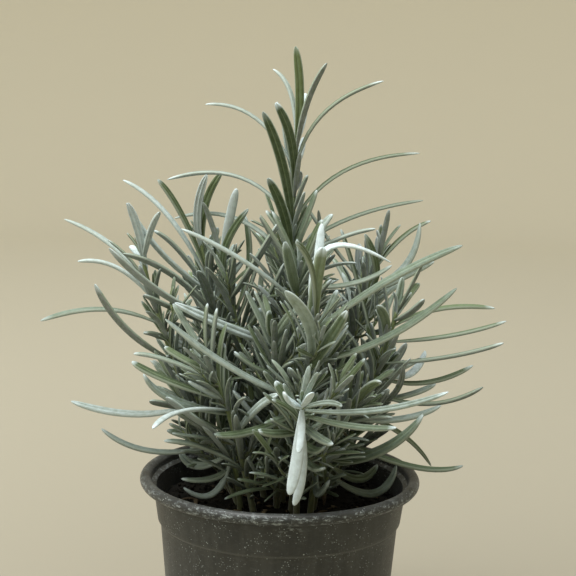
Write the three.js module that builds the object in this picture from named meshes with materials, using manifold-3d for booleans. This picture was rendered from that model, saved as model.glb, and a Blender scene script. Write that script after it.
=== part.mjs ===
// Lavender in a dark nursery pot. Millimetres, +Z up.
// The origin is the centre of the pot's flat underside, and the plant's front looks along -Y.

import * as THREE from "three";
import { mergeVertices } from "three/addons/utils/BufferGeometryUtils.js";
import Module from "manifold-3d";

const wasm = await Module();
wasm.setup();

// ---------------------------------------------------------------- pot and soil dimensions

const POT_HEIGHT = 95;
const RIM_RADIUS = 60; // outside of the rolled rim
const LIP_RADIUS = 2.4; // radius of the roll
const COLLAR_TOP_RADIUS = 54.3;
const COLLAR_FOOT_RADIUS = 52.3;
const COLLAR_HEIGHT = 20; // from the top of the rim down to the step
const STEP = 1.2; // how far the body stands back under the collar
const BASE_RADIUS = 45;
const BASE_CORNER = 2;
const WALL = 1.3;
const FLOOR = 1.8;
const STEP_SLOPE = 1.2; // height over which the step leads from the body to the collar
const POT_SIDES = 40;
const LIP_FACET = 45; // degrees of the roll that each of its facets spans
const DRAIN_HOLES = 6;
const DRAIN_RADIUS = 3.5;
const DRAIN_CIRCLE = 34;
const DRAIN_SIDES = 12;
const DRAIN_CUT = 3 * FLOOR; // height of the cut for a hole, which passes the floor on both sides

const GAP = 0.3; // between pieces that touch
const STEM_GAP = 0.4; // between a stem and its hole in the soil
const SOIL_TOP = 82;
const SOIL_SHOULDER = 1; // how far the soil falls away at the wall
const SOIL_RINGS = 5;
const SOIL_SIDES = 20;
const SOIL_UNEVEN = 0.9;
const LONG_WAVE = 5.3; // the unevenness of the soil, in millimetres to a radian of its two waves
const SHORT_WAVE = 3.4;
const SHORT_WAVE_SHARE = 0.5;

// ---------------------------------------------------------------- shoot and leaf dimensions

const STEM_FOOT_RADIUS = 1.45;
const STEM_TIP_RADIUS = 0.75;
const STEM_SIDES = 5;
const STEM_STEPS = 6;
const ROOTED = 13; // how deep a stem stands in the soil

const LEAF_THICK = 1.9; // with the margins rolled under

const LEAF_STATIONS = [0, 0.28, 0.62, 0.88]; // rings along a leaf, which ends in a point
const LEAF_OUTLINE = [0.32, 0.9, 1, 0.78]; // its width there, as a share of the full width
const LEAF_DEPTH = [0.5, 1, 1, 0.8]; // and its thickness
// Its two edges, keel and crest, as shares of the half width there and of the thickness.
const LEAF_SECTION = [[-1, 0], [0, -0.55], [1, 0], [0, 0.45]];

// ---------------------------------------------------------------- the view the plant is laid out in

// The shoots and the leaves that show most are laid out as they are seen from the front:
// across and up on the upright plane through the pot's axis, and how deep they lie behind it,
// from an eye this far in front of that plane and this high above the pot's underside.
const EYE_AWAY = 600;
const EYE_UP = 274;

function seen(across, up, depth) {
  const grow = (EYE_AWAY + depth) / EYE_AWAY;
  return new THREE.Vector3(across * grow, depth, EYE_UP + (up - EYE_UP) * grow);
}

// Each shoot has its foot on the soil (x, y), and the middle and the tip of its stem as
// [across, up, depth]. Its own leaves are rows of
//   [place on the stem 0-1, middle across, middle up, tip across, tip up, tip depth, width],
// and some end with how far the upper face is turned to the viewer, or below 0 the underside.
// Pairs of leaves then fill it by rule: how many pairs, from which place on the stem up, how long.
const SHOOTS = [
  {
    name: "shoot_tall", foot: [2, 9], middle: [2.4, 160, 10], tip: [4, 236, 14],
    pairs: 5, from: 0.3, length: 44,
    leaves: [
      [1, 4.9, 257, 2.8, 276, 12, 3.9, 1],
      [0.98, 1.8, 255.3, -6.3, 266.5, 18, 3],
      [0.97, 8, 252.8, 15.9, 269.5, 14, 3],
      [1, 6.4, 247, 7.4, 257, 20, 3.4, -1],
      [0.86, 1.9, 237, -5, 252.8, 2, 4.1, 0.8],
      [0.75, -1.4, 226.5, -10.2, 249, -2, 4.3, 0.9],
      [0.92, -13, 246.2, -34, 251.5, 20, 3.2],
      [0.9, 13.8, 247.5, 39.5, 262.6, 18, 3.4],
      [0.93, 5.9, 232.5, 6.9, 238.8, 20, 2.8, -1],
      [0.77, 23.5, 224.8, 55.5, 233.2, 22, 3.4],
      [0.69, 27, 205.4, 57.6, 213.6, 26, 3.4],
      [0.77, -19, 221.6, -49.5, 220, 24, 3.4],
      [0.68, -0.6, 206.5, -7.6, 221.6, -6, 4.4, 0.9],
      [0.66, -20, 204.2, -46.5, 203.8, 32, 3.4],
      [0.86, 5.3, 220.4, 5.9, 224.8, 16, 2.6, -0.8],
      [0.8, 6.2, 216.5, 9, 223.2, 10, 2.8],
      [0.68, 8.5, 204.5, 13, 217, 4, 3.4, 0.5],
      [0.66, 22, 196.4, 38, 201.2, 0, 3.4],
    ],
  },
  {
    name: "shoot_upper_left", foot: [-8, 15], middle: [-23, 138, 18], tip: [-36, 197, 22],
    pairs: 3, from: 0.35, length: 40,
    leaves: [
      [0.83, -49, 205, -68, 219.5, 30, 3.6],
      [0.87, -43.5, 206, -53.5, 220, 14, 3.4, 0.5],
      [0.95, -36.8, 207, -33, 222.5, 16, 3.6, -0.6],
      [0.92, -34, 208, -26.5, 224, 30, 3.6, 0.8],
      [0.78, -44, 190, -55, 198.5, 10, 3.4],
      [0.79, -51, 188.6, -66.5, 210, 4, 3.9],
      [0.66, -46, 165.4, -59, 171.2, -4, 3.6],
      [0.7, -47, 180, -68, 188.5, -4, 3.8],
    ],
  },
  {
    name: "shoot_left", foot: [-13, 4], middle: [-44, 138, 4], tip: [-60, 189, 6],
    pairs: 3, from: 0.3, length: 38,
    leaves: [
      [0.93, -61, 197, -66, 210, 12, 3.6, -0.6],
      [0.78, -70, 182.4, -87, 184.8, 0, 3.8],
      [0.84, -72, 191.6, -92.5, 202.6, 16, 3.6],
      [0.96, -56.5, 198, -52.5, 206.5, 2, 3.2],
      [0.9, -60.5, 187.6, -65, 191.8, -6, 3.8],
      [0.68, -76, 164.6, -102.8, 159, -6, 3.8],
      [0.54, -66, 156, -79.7, 175.4, -14, 3.8],
      [0.62, -54, 154.2, -58.8, 154.8, -10, 3.6],
    ],
  },
  {
    name: "shoot_mid_left", foot: [-5, 5], middle: [-16, 140, 14], tip: [-27, 190, 20],
    pairs: 3, from: 0.3, length: 40,
    leaves: [
      [0.96, -23.5, 203, -20.5, 217, 18, 4, -0.9],
      [0.86, -25, 192, -15.5, 208.5, 10, 3.6, 0.6],
      [0.78, -15, 181.5, -2, 204, 2, 3.8],
      [0.72, -15, 184, -17, 206, 28, 3.6],
      [0.62, -9, 167.5, 0, 186, -6, 3.8, 0.4],
      [0.68, -47, 169.4, -73.8, 190.8, -14, 3.8],
    ],
  },
  {
    name: "shoot_middle", foot: [1, -1], middle: [3, 132, -4], tip: [6, 180, -8],
    pairs: 4, from: 0.3, length: 40,
    leaves: [
      [0.92, 3.5, 181, 0, 195, -18, 4.6, 0.9],
      [0.88, -18, 187, -43.5, 199.5, -14, 4],
      [0.98, -1, 191, -10.5, 206, 2, 3.6],
      [1, 2, 193, -5.5, 207.5, -2, 3.4, 0.3],
      [0.96, 28, 177.6, 45.3, 186, 0, 3.6],
      [0.98, 13, 197, 19.8, 207, 4, 3.4],
      [0.97, 10.6, 193.5, 15.6, 204.6, -6, 4.2],
      [0.66, -21, 157, -46, 168, -22, 4, 0.6],
    ],
  },
  {
    name: "shoot_inner", foot: [-1, -8], middle: [-2, 118, -16], tip: [-4, 154, -20],
    pairs: 3, from: 0.25, length: 36,
    leaves: [
      [1, -5.5, 158, -6, 165.5, -22, 3.6, 0.6],
      [0.98, 0, 160, 4, 165.5, -26, 3.8, 0.6],
      [0.92, -7, 157, -10, 166.5, -16, 4],
      [0.88, -1, 150, 2.5, 160.5, -14, 3.4, 0.5],
      [0.8, 2, 149, 8, 160.5, -26, 3.6],
      [0.76, -11, 140.5, -20.5, 147.5, -28, 3.8],
    ],
  },
  {
    name: "shoot_front", foot: [4, -10], middle: [9, 121, -26], tip: [13, 160, -34],
    pairs: 2, from: 0.3, length: 36,
    leaves: [
      [0.72, 12, 157.5, 0.5, 174, -50, 5.2, 1],
      [0.88, 13.2, 172, 16, 193, -42, 5, 0.9],
      [0.95, 14, 182, 15.5, 203, -22, 3.9, -0.9],
      [0.97, 16.5, 191.5, 45, 187, -22, 4.1],
      [0.98, 12, 182, 4.5, 195, -30, 3.8, 0.5],
      [0.7, 19, 152, 27, 166, -48, 4.3, 0.7],
      [0.94, 44, 179.6, 74.7, 195, -8, 3.9],
      [0.76, 43, 154.4, 73, 176.8, -14, 3.9],
      [0.56, -20, 139.5, -50, 161, -36, 3.9],
      [0.52, -12, 113, -28.5, 111, -44, 4.3],
      [0.66, 6.5, 136, 3, 141, -44, 3.8],
    ],
  },
  {
    name: "shoot_front_low", foot: [7, -19], middle: [8, 104, -38], tip: [9, 124, -56],
    pairs: 1, from: 0.35, length: 28,
    leaves: [
      [0.98, 3.5, 126.5, 1.5, 129.5, -74, 4.4],
      [0.99, 11, 127, 12.5, 130, -76, 4.4],
      [0.92, 7.4, 102, 4.2, 84.7, -66, 4.8, -0.9],
      [0.8, 9.5, 96, 6.2, 80, -58, 3.8, -0.9],
      [0.93, 41, 123.2, 71.3, 131.8, -46, 4.3],
      [0.86, 30, 116, 49.5, 115.6, -60, 4.1],
      [0.62, 14, 105, 19, 106.5, -58, 4],
      [0.76, 15, 111.5, 22.5, 107.5, -62, 3.8],
      [0.5, 14, 97.5, 19, 97, -56, 3.8],
      [0.66, -2, 112, -9.5, 113, -56, 4],
      [0.96, 19, 126, 26, 124.5, -58, 3.8],
      [0.97, 8.8, 112, 7.6, 103.5, -72, 3, -0.9],
    ],
  },
  {
    name: "shoot_front_left", foot: [-8.5, -15], middle: [-19, 109, -22], tip: [-33, 146, -26],
    pairs: 1, from: 0.3, length: 30,
    leaves: [
      [0.97, -33, 158, -32, 168, -22, 3.6],
      [0.9, -29.5, 154, -28, 166, -34, 3.8],
      [0.82, -48.5, 143, -63.3, 145.6, -32, 3.8],
      [0.88, -42, 144, -50, 149, -18, 3.4],
      [0.72, -49, 134.6, -64, 142.3, -16, 4],
      [0.64, -47, 126.4, -59, 136.8, -38, 4.6, 0.4],
      [0.46, -38, 118.6, -48.8, 127, -40, 4.4],
      [0.66, -43, 120.8, -54.8, 113, -50, 4.2],
      [0.52, -11, 122.5, -1.5, 129, -42, 4.2, 0.5],
      [0.34, -33, 105, -50, 107.6, -34, 4.2],
    ],
  },
  {
    name: "shoot_low_left", foot: [-14, -5], middle: [-27, 103, -7], tip: [-43, 127, -10],
    pairs: 2, from: 0.35, length: 32,
    leaves: [
      [0.9, -64, 119.4, -90, 124.4, 16, 3.6],
      [0.55, -56, 103.2, -77, 112.6, -8, 3.8],
      [0.62, -37, 110.5, -48, 115.5, -14, 3.8],
      [0.5, -37, 109, -48.8, 112.4, 8, 3.8],
      [0.95, -47, 133, -55, 143, 8, 3.8],
    ],
  },
  {
    name: "shoot_low_right", foot: [13, -7], middle: [20, 102, -16], tip: [33, 128, -22],
    pairs: 1, from: 0.35, length: 32,
    leaves: [
      [0.45, 44, 106, 60.8, 121.5, -36, 5.2, 0.5],
      [0.82, 50, 119.4, 68.3, 125.8, -12, 3.8],
      [0.88, 51, 113.4, 65, 99, 0, 3.4],
      [0.66, 56, 98.8, 78.8, 99.3, -26, 3.8],
      [0.8, 35, 131, 42.4, 135.6, -36, 4.6, 0.8],
    ],
  },
  {
    name: "shoot_right", foot: [12, 5], middle: [33, 119, 4], tip: [48, 166, 6],
    pairs: 3, from: 0.3, length: 36,
    leaves: [
      [0.86, 71, 156.3, 94.6, 163, 0, 3.8],
      [0.76, 70, 147, 93.9, 153.6, -12, 3.8],
      [0.7, 60.5, 135.6, 81.3, 143.6, 8, 3.6],
      [0.63, 63, 126.4, 86, 134.3, -16, 3.8],
      [0.93, 66, 167.8, 89.5, 168.4, 18, 3.6],
      [0.95, 48.5, 171, 50, 181, 12, 3.6],
      [0.96, 53.5, 165.8, 59.4, 171.8, -4, 3.6],
      [0.98, 52.5, 173, 57, 178.5, 22, 3.6],
      [0.82, 43.6, 161, 39.6, 168.6, -14, 4.2, 0.8],
      [0.56, 47.5, 130, 51.6, 142.7, -18, 4],
      [0.72, 53.5, 138.8, 60.7, 149.5, 24, 4],
      [0.58, 53, 129.8, 65.6, 135.3, 20, 3.8],
      [0.74, 31.5, 177, 23.4, 200.8, -4, 3.4],
    ],
  },
  {
    name: "shoot_upper_right", foot: [8, 15], middle: [25, 137, 16], tip: [40, 190, 20],
    pairs: 3, from: 0.3, length: 38,
    leaves: [
      [0.83, 50, 180.6, 63, 188, 32, 3.6],
      [0.94, 49, 197.6, 61, 205, 26, 3.6],
      [0.86, 51, 186, 56.5, 204, 6, 3.9, 0.5],
      [0.84, 39, 184, 33.5, 199, 6, 4, 0.6],
      [0.6, 14, 165, 6.5, 190, 26, 3.6],
      [0.86, 22, 191.5, 7.4, 212.3, 10, 3.2],
    ],
  },
  {
    name: "shoot_pot_left", foot: [-16, -13], middle: [-18.5, 92, -17], tip: [-24, 103, -20],
    pairs: 1, from: 0.5, length: 22,
    leaves: [
      [0.9, -35, 97, -43.2, 103, -6, 4],
      [0.7, -29, 91.5, -42.5, 91, -22, 4.4],
      [0.78, -29, 84.5, -41.5, 87, -34, 3.8],
    ],
  },
  {
    name: "shoot_pot_right", foot: [13, -17], middle: [15, 91, -22], tip: [21, 101, -26],
    pairs: 1, from: 0.5, length: 22,
    leaves: [
      [0.9, 33, 92.5, 42, 99, -2, 3.8],
      [0.72, 39, 86, 50, 99, -16, 3.8],
      [0.6, 16.5, 86, 21.5, 91.5, -38, 3.9, 0.8],
    ],
  },
  {
    name: "shoot_back", foot: [0, 21], middle: [1, 142, 36], tip: [2, 186, 46],
    pairs: 7, from: 0.25, length: 46, leaves: [],
  },
  {
    name: "shoot_back_left", foot: [-12, 24], middle: [-24, 132, 42], tip: [-34, 172, 54],
    pairs: 7, from: 0.25, length: 46, leaves: [],
  },
  {
    name: "shoot_back_right", foot: [11, 24], middle: [24, 134, 40], tip: [32, 176, 50],
    pairs: 7, from: 0.25, length: 46, leaves: [],
  },
  {
    name: "shoot_back_low_left", foot: [-18, 12], middle: [-31, 109, 27], tip: [-43, 138, 38],
    pairs: 5, from: 0.3, length: 42, leaves: [],
  },
  {
    name: "shoot_back_low_right", foot: [18, 12], middle: [31, 109, 27], tip: [42, 137, 38],
    pairs: 5, from: 0.3, length: 42, leaves: [],
  },
  {
    name: "shoot_back_low", foot: [3, 30], middle: [4, 112, 46], tip: [6, 138, 62],
    pairs: 5, from: 0.3, length: 42, leaves: [],
  },
];

// ---------------------------------------------------------------- the rule that leaves follow

const SEED = 73;
const PAIR_TURN = Math.PI / 2; // each pair stands across the one below
const PAIR_PLACE = 0.6; // where a pair sits on its own stretch of the stem
const LOW_SPREAD = 1.25; // angle between stem and leaf at the foot of a shoot, in radians
const TOP_SPREAD = 0.35;
const LOW_LENGTH = 0.8; // share of the shoot's leaf length at its foot and at its tip
const TOP_LENGTH = 0.6;
const LEAF_WIDTHS = [3.4, 4.6];
const TURN_PLAY = [-0.5, 0.5]; // how far a leaf strays from the rule, in radians
const SPREAD_PLAY = [-0.3, 0.3];
const LENGTH_PLAY = [0.75, 1.1]; // and as shares of its length
const RISE_PLAY = [-0.03, 0.12];
const TRIES = 14;
const LATE_LENGTH = 0.7; // share of the length from the middle one of the tries on

const CLEARANCE = 2.6; // between the traced points of leaves and stems of two shoots
const OWN_CLEARANCE = 1.8; // and within one shoot, past the root of the leaf
const TRACE_STEPS = 24;
const ROOT_STEPS = 3; // trace steps at a leaf's root that its stem hides from other shoots
const FOOT_STEPS = 8; // and that lie beside its twin
const SOIL_CLEARANCE = 3.5;
const RIM_CLEARANCE = 2.5;
const DEPTH_SHIFTS = [0, -5, 5, -10, 10, -15, 15, -20, 20, -26, 26];
const TIP_PULL = 0.55; // how far the middle of a hand-placed leaf has gone to its tip's depth

// Leaves placed by rule keep inside a dome, which the hand-placed ones stand out of.
const DOME = { up: 148, high: 62, low: 80, side: 66, front: 66, back: 90 };

// A draw between 0 and 1 from a Lehmer generator, the same on every run.
let lehmer = SEED;
function draw() {
  lehmer = (lehmer * 16807) % 2147483647;
  return lehmer / 2147483647;
}
const between = (low, high) => low + (high - low) * draw();

// A quadratic curve from root to tip that passes through the middle half-way.
function arc(root, middle, tip) {
  const control = middle.clone().multiplyScalar(2).addScaledVector(root, -0.5).addScaledVector(tip, -0.5);
  return new THREE.QuadraticBezierCurve3(root, control, tip);
}

function direction(curve, t) {
  const start = curve.v1.clone().sub(curve.v0).multiplyScalar(1 - t);
  return start.addScaledVector(curve.v2.clone().sub(curve.v1), t).normalize();
}

function makeStem(shoot) {
  const foot = new THREE.Vector3(shoot.foot[0], shoot.foot[1], SOIL_TOP - ROOTED);
  return arc(foot, seen(...shoot.middle), seen(...shoot.tip));
}

// A leaf turns its upper face to its stem, so its width runs across both, and from there by its
// own share to the viewer.
function makeLeaf(shoot, place, middle, tip, width, facing = 0) {
  const root = shoot.stem.getPoint(place);
  const reach = tip.clone().sub(root).normalize();
  const across = direction(shoot.stem, place).cross(reach).normalize();
  const face = reach.clone().cross(across).multiplyScalar(1 - Math.abs(facing));
  face.y -= facing;
  return { curve: arc(root, middle, tip), across: face.cross(reach).normalize(), width };
}

function leafAcross(leaf, t) {
  const along = direction(leaf.curve, t);
  const across = leaf.across.clone().addScaledVector(along, -leaf.across.dot(along));
  return across.normalize();
}

// Points along a leaf's middle and both its edges.
const TRACE_SIDES = [-0.5, 0, 0.5];

function traceLeaf(leaf) {
  const points = [];
  for (let i = 1; i <= TRACE_STEPS; i++) {
    const t = i / TRACE_STEPS;
    const middle = leaf.curve.getPoint(t);
    const across = leafAcross(leaf, t);
    for (const side of TRACE_SIDES) {
      points.push(middle.clone().addScaledVector(across, side * leaf.width));
    }
  }
  return points;
}

function traceStem(stem) {
  const points = [];
  for (let i = 0; i <= 2 * TRACE_STEPS; i++) {
    points.push(stem.getPoint(i / (2 * TRACE_STEPS)));
  }
  return points;
}

function nearerThan(points, others, distance) {
  const limit = distance * distance;
  return points.some((p) => others.some((q) => p.distanceToSquared(q) < limit));
}

function clearOfPot(points) {
  return points.every((p) => {
    const radius = Math.hypot(p.x, p.y);
    const overSoil = p.z > SOIL_TOP + SOIL_CLEARANCE;
    const overRim = p.z > POT_HEIGHT + RIM_CLEARANCE;
    return overSoil && (overRim || radius < COLLAR_TOP_RADIUS - WALL - RIM_CLEARANCE);
  });
}

function insideDome(tip) {
  const deep = tip.y < 0 ? DOME.front : DOME.back;
  const tall = tip.z < DOME.up ? DOME.low : DOME.high;
  return (tip.x / DOME.side) ** 2 + (tip.y / deep) ** 2 + ((tip.z - DOME.up) / tall) ** 2 < 1;
}

// The first trace points of a leaf are inside its stem or beside its twin, so they are passed over.
function clearOfPlant(shoot, points) {
  const pastRoot = points.slice(TRACE_SIDES.length * ROOT_STEPS);
  const pastFoot = points.slice(TRACE_SIDES.length * FOOT_STEPS);
  return SHOOTS.every((other) => {
    if (other === shoot) {
      return other.traces.every((trace) => !nearerThan(pastFoot, trace, OWN_CLEARANCE));
    }
    return other.traces.every((trace) => !nearerThan(pastRoot, trace, CLEARANCE));
  });
}

// Adds the leaf to its shoot where it touches nothing else.
function tryLeaf(shoot, leaf) {
  const points = traceLeaf(leaf);
  if (!clearOfPot(points) || !clearOfPlant(shoot, points)) {
    return false;
  }
  shoot.grown.push(leaf);
  shoot.traces.push(points);
  return true;
}

// A leaf laid out by hand is bent nearer or farther along the line of sight until it is clear.
function growSeenLeaf(shoot, row) {
  const [place, middleAcross, middleUp, tipAcross, tipUp, tipDepth, width, facing] = row;
  const root = shoot.stem.getPoint(place);
  return DEPTH_SHIFTS.some((shift) => {
    const depth = tipDepth + shift;
    const middle = seen(middleAcross, middleUp, root.y + (depth - root.y) * TIP_PULL);
    const tip = seen(tipAcross, tipUp, depth);
    return tryLeaf(shoot, makeLeaf(shoot, place, middle, tip, width, facing));
  });
}

// A leaf placed by rule leans away from the stem at its own spread, and arches up a little.
function growRuledLeaf(shoot, place, azimuth) {
  const root = shoot.stem.getPoint(place);
  const along = direction(shoot.stem, place);
  const right = new THREE.Vector3(0, 1, 0).cross(along).normalize();
  const ahead = along.clone().cross(right);
  const grown = LOW_LENGTH + (1 - LOW_LENGTH) * Math.sin(Math.PI * place) - (1 - TOP_LENGTH) * place ** 4;
  for (let attempt = 0; attempt < TRIES; attempt++) {
    const turn = azimuth + between(...TURN_PLAY);
    const spread = LOW_SPREAD + (TOP_SPREAD - LOW_SPREAD) * place + between(...SPREAD_PLAY);
    const length = shoot.length * grown * between(...LENGTH_PLAY) * (attempt < TRIES / 2 ? 1 : LATE_LENGTH);
    const out = right.clone().multiplyScalar(Math.cos(turn)).addScaledVector(ahead, Math.sin(turn));
    const lean = along.clone().multiplyScalar(Math.cos(spread)).addScaledVector(out, Math.sin(spread));
    const tip = root.clone().addScaledVector(lean, length);
    const rise = along.clone().multiplyScalar(Math.sin(spread)).addScaledVector(out, -Math.cos(spread));
    const middle = root.clone().addScaledVector(lean, 0.5 * length);
    middle.addScaledVector(rise, length * between(...RISE_PLAY));
    const leaf = makeLeaf(shoot, place, middle, tip, between(...LEAF_WIDTHS));
    if (insideDome(tip) && tryLeaf(shoot, leaf)) {
      return;
    }
  }
}

function growPairs(shoot) {
  const first = between(0, Math.PI);
  for (let pair = 0; pair < shoot.pairs; pair++) {
    const place = shoot.from + (1 - shoot.from) * ((pair + PAIR_PLACE) / shoot.pairs);
    for (const side of [0, Math.PI]) {
      growRuledLeaf(shoot, place, first + pair * PAIR_TURN + side);
    }
  }
}

function growPlant() {
  for (const shoot of SHOOTS) {
    shoot.stem = makeStem(shoot);
    shoot.grown = [];
    shoot.traces = [traceStem(shoot.stem)];
  }
  for (const shoot of SHOOTS) {
    shoot.leaves.forEach((row) => growSeenLeaf(shoot, row));
  }
  for (const shoot of SHOOTS) {
    growPairs(shoot);
  }
}

// ---------------------------------------------------------------- closed meshes and solids

// A closed surface over rings of points. Two-faced shapes have their left edge first, and the
// quads of the second half are cut the other way, so that both faces are split alike.
function skin(rings, tip) {
  const count = rings[0].length;
  const positions = rings.flat().flatMap((p) => [p.x, p.y, p.z]);
  const faces = [];
  for (let i = 0; i + 1 < rings.length; i++) {
    for (let j = 0; j < count; j++) {
      const a = i * count + j;
      const b = i * count + ((j + 1) % count);
      if (j < count / 2) {
        faces.push(a, b, b + count, a, b + count, a + count);
      } else {
        faces.push(a, b, a + count, b, b + count, a + count);
      }
    }
  }
  const last = (rings.length - 1) * count;
  for (let j = 1; j + 1 < count; j++) {
    faces.push(0, j + 1, j);
    if (!tip) {
      faces.push(last, last + j, last + j + 1);
    }
  }
  if (tip) {
    positions.push(tip.x, tip.y, tip.z);
    for (let j = 0; j < count; j++) {
      faces.push(last + j, last + ((j + 1) % count), last + count);
    }
  }
  const geometry = new THREE.BufferGeometry();
  geometry.setAttribute("position", new THREE.Float32BufferAttribute(positions, 3));
  geometry.setIndex(faces);
  return geometry;
}

const MERGE_DISTANCE = 1e-4; // vertices nearer than this are one

function solidOf(geometry) {
  const bare = geometry.clone();
  bare.deleteAttribute("normal");
  bare.deleteAttribute("uv");
  const merged = mergeVertices(bare, MERGE_DISTANCE);
  const mesh = new wasm.Mesh({
    numProp: 3,
    vertProperties: Float32Array.from(merged.attributes.position.array),
    triVerts: Uint32Array.from(merged.index.array),
  });
  return new wasm.Manifold(mesh);
}

// The largest piece of a solid alone: a sealed hollow or a loose scrap is a piece of its own.
function soundPiece(solid) {
  return solid.decompose().reduce((best, piece) => (piece.volume() > best.volume() ? piece : best));
}

function geometryOf(solid) {
  const mesh = solid.getMesh();
  const geometry = new THREE.BufferGeometry();
  geometry.setAttribute("position", new THREE.BufferAttribute(mesh.vertProperties, 3));
  geometry.setIndex(new THREE.BufferAttribute(mesh.triVerts, 1));
  geometry.computeVertexNormals();
  return geometry;
}

// ---------------------------------------------------------------- stems and leaves

function stemGeometry(stem, extra) {
  const rings = [];
  for (let i = 0; i <= STEM_STEPS; i++) {
    const t = i / STEM_STEPS;
    const along = direction(stem, t);
    const right = new THREE.Vector3(0, 1, 0).cross(along).normalize();
    const ahead = along.clone().cross(right);
    const radius = STEM_FOOT_RADIUS + (STEM_TIP_RADIUS - STEM_FOOT_RADIUS) * t + extra;
    const ring = [];
    for (let k = 0; k < STEM_SIDES; k++) {
      const angle = (2 * Math.PI * k) / STEM_SIDES;
      const point = stem.getPoint(t).addScaledVector(right, radius * Math.cos(angle));
      ring.push(point.addScaledVector(ahead, radius * Math.sin(angle)));
    }
    rings.push(ring);
  }
  return skin(rings);
}

function leafGeometry(leaf) {
  const rings = LEAF_STATIONS.map((t, i) => {
    const middle = leaf.curve.getPoint(t);
    const across = leafAcross(leaf, t);
    const up = direction(leaf.curve, t).cross(across);
    const half = (leaf.width / 2) * LEAF_OUTLINE[i];
    const thick = LEAF_THICK * LEAF_DEPTH[i];
    return LEAF_SECTION.map(([side, height]) => {
      return middle.clone().addScaledVector(across, side * half).addScaledVector(up, height * thick);
    });
  });
  return skin(rings, leaf.curve.getPoint(1));
}

function shootSolid(shoot) {
  const parts = [solidOf(stemGeometry(shoot.stem, 0))];
  shoot.grown.forEach((leaf) => parts.push(solidOf(leafGeometry(leaf))));
  return soundPiece(wasm.Manifold.union(parts));
}

// ---------------------------------------------------------------- pot and soil

// Inside radius of the pot at a height between its floor and the foot of the rolled rim.
function insideRadius(up) {
  const stepUp = POT_HEIGHT - COLLAR_HEIGHT;
  const bodyTop = COLLAR_FOOT_RADIUS - STEP;
  if (up < stepUp) {
    return BASE_RADIUS + (bodyTop - BASE_RADIUS) * (up / stepUp) - WALL;
  }
  const share = (up - stepUp) / (COLLAR_HEIGHT - 2 * LIP_RADIUS);
  return COLLAR_FOOT_RADIUS + (COLLAR_TOP_RADIUS - COLLAR_FOOT_RADIUS) * share - WALL;
}

function lipPoints() {
  const points = [];
  for (let degrees = LIP_FACET - 180; degrees <= 180; degrees += LIP_FACET) {
    const angle = THREE.MathUtils.degToRad(degrees);
    const radius = RIM_RADIUS - LIP_RADIUS + LIP_RADIUS * Math.cos(angle);
    points.push(new THREE.Vector2(radius, POT_HEIGHT - LIP_RADIUS + LIP_RADIUS * Math.sin(angle)));
  }
  return points;
}

function potSolid() {
  const stepUp = POT_HEIGHT - COLLAR_HEIGHT;
  const lipFoot = POT_HEIGHT - 2 * LIP_RADIUS;
  const profile = [
    new THREE.Vector2(0, 0),
    new THREE.Vector2(BASE_RADIUS - BASE_CORNER, 0),
    new THREE.Vector2(BASE_RADIUS, BASE_CORNER),
    new THREE.Vector2(COLLAR_FOOT_RADIUS - STEP, stepUp - STEP_SLOPE / 2),
    new THREE.Vector2(COLLAR_FOOT_RADIUS, stepUp + STEP_SLOPE / 2),
    new THREE.Vector2(COLLAR_TOP_RADIUS, lipFoot),
    ...lipPoints(),
    new THREE.Vector2(COLLAR_TOP_RADIUS - WALL, lipFoot),
    new THREE.Vector2(COLLAR_FOOT_RADIUS - WALL, stepUp),
    new THREE.Vector2(COLLAR_FOOT_RADIUS - STEP - WALL, stepUp - STEP_SLOPE),
    new THREE.Vector2(insideRadius(FLOOR), FLOOR),
    new THREE.Vector2(0, FLOOR),
  ];
  let pot = solidOf(standing(new THREE.LatheGeometry(profile, POT_SIDES)));
  for (let i = 0; i < DRAIN_HOLES; i++) {
    const angle = (2 * Math.PI * (i + 0.5)) / DRAIN_HOLES;
    const hole = standing(new THREE.CylinderGeometry(DRAIN_RADIUS, DRAIN_RADIUS, DRAIN_CUT, DRAIN_SIDES));
    hole.translate(DRAIN_CIRCLE * Math.cos(angle), DRAIN_CIRCLE * Math.sin(angle), 0);
    pot = pot.subtract(solidOf(hole));
  }
  return pot;
}

// Turns a shape with its axis along Y to stand along Z.
function standing(geometry) {
  return geometry.rotateX(Math.PI / 2);
}

function soilHeight(x, y) {
  const long = Math.sin(x / LONG_WAVE) * Math.cos(y / LONG_WAVE);
  return SOIL_TOP + SOIL_UNEVEN * (long + SHORT_WAVE_SHARE * Math.sin((y - x) / SHORT_WAVE));
}

function soilSolid() {
  const rim = insideRadius(SOIL_TOP) - GAP;
  const stepUp = POT_HEIGHT - COLLAR_HEIGHT;
  const profile = [
    new THREE.Vector2(0, FLOOR + GAP),
    new THREE.Vector2(insideRadius(FLOOR) - GAP, FLOOR + GAP),
    new THREE.Vector2(COLLAR_FOOT_RADIUS - STEP - WALL - GAP, stepUp - STEP_SLOPE),
    new THREE.Vector2(rim, SOIL_TOP - SOIL_SHOULDER),
  ];
  for (let ring = SOIL_RINGS - 1; ring >= 0; ring--) {
    profile.push(new THREE.Vector2((rim * ring) / SOIL_RINGS, SOIL_TOP));
  }
  const geometry = standing(new THREE.LatheGeometry(profile, SOIL_SIDES));
  const position = geometry.attributes.position;
  for (let i = 0; i < position.count; i++) {
    if (position.getZ(i) > SOIL_TOP - SOIL_SHOULDER / 2) {
      position.setZ(i, soilHeight(position.getX(i), position.getY(i)));
    }
  }
  let soil = solidOf(geometry);
  for (const shoot of SHOOTS) {
    soil = soil.subtract(solidOf(stemGeometry(shoot.stem, STEM_GAP)));
  }
  return soil;
}

// ---------------------------------------------------------------- materials and the group

const potMaterial = new THREE.MeshStandardMaterial({ color: 0x35352f, roughness: 0.5, metalness: 0 });
const soilMaterial = new THREE.MeshStandardMaterial({ color: 0x1b1a15, roughness: 0.95, metalness: 0 });
const leafMaterial = new THREE.MeshStandardMaterial({ color: 0x6d775a, roughness: 0.8, metalness: 0 });

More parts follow.
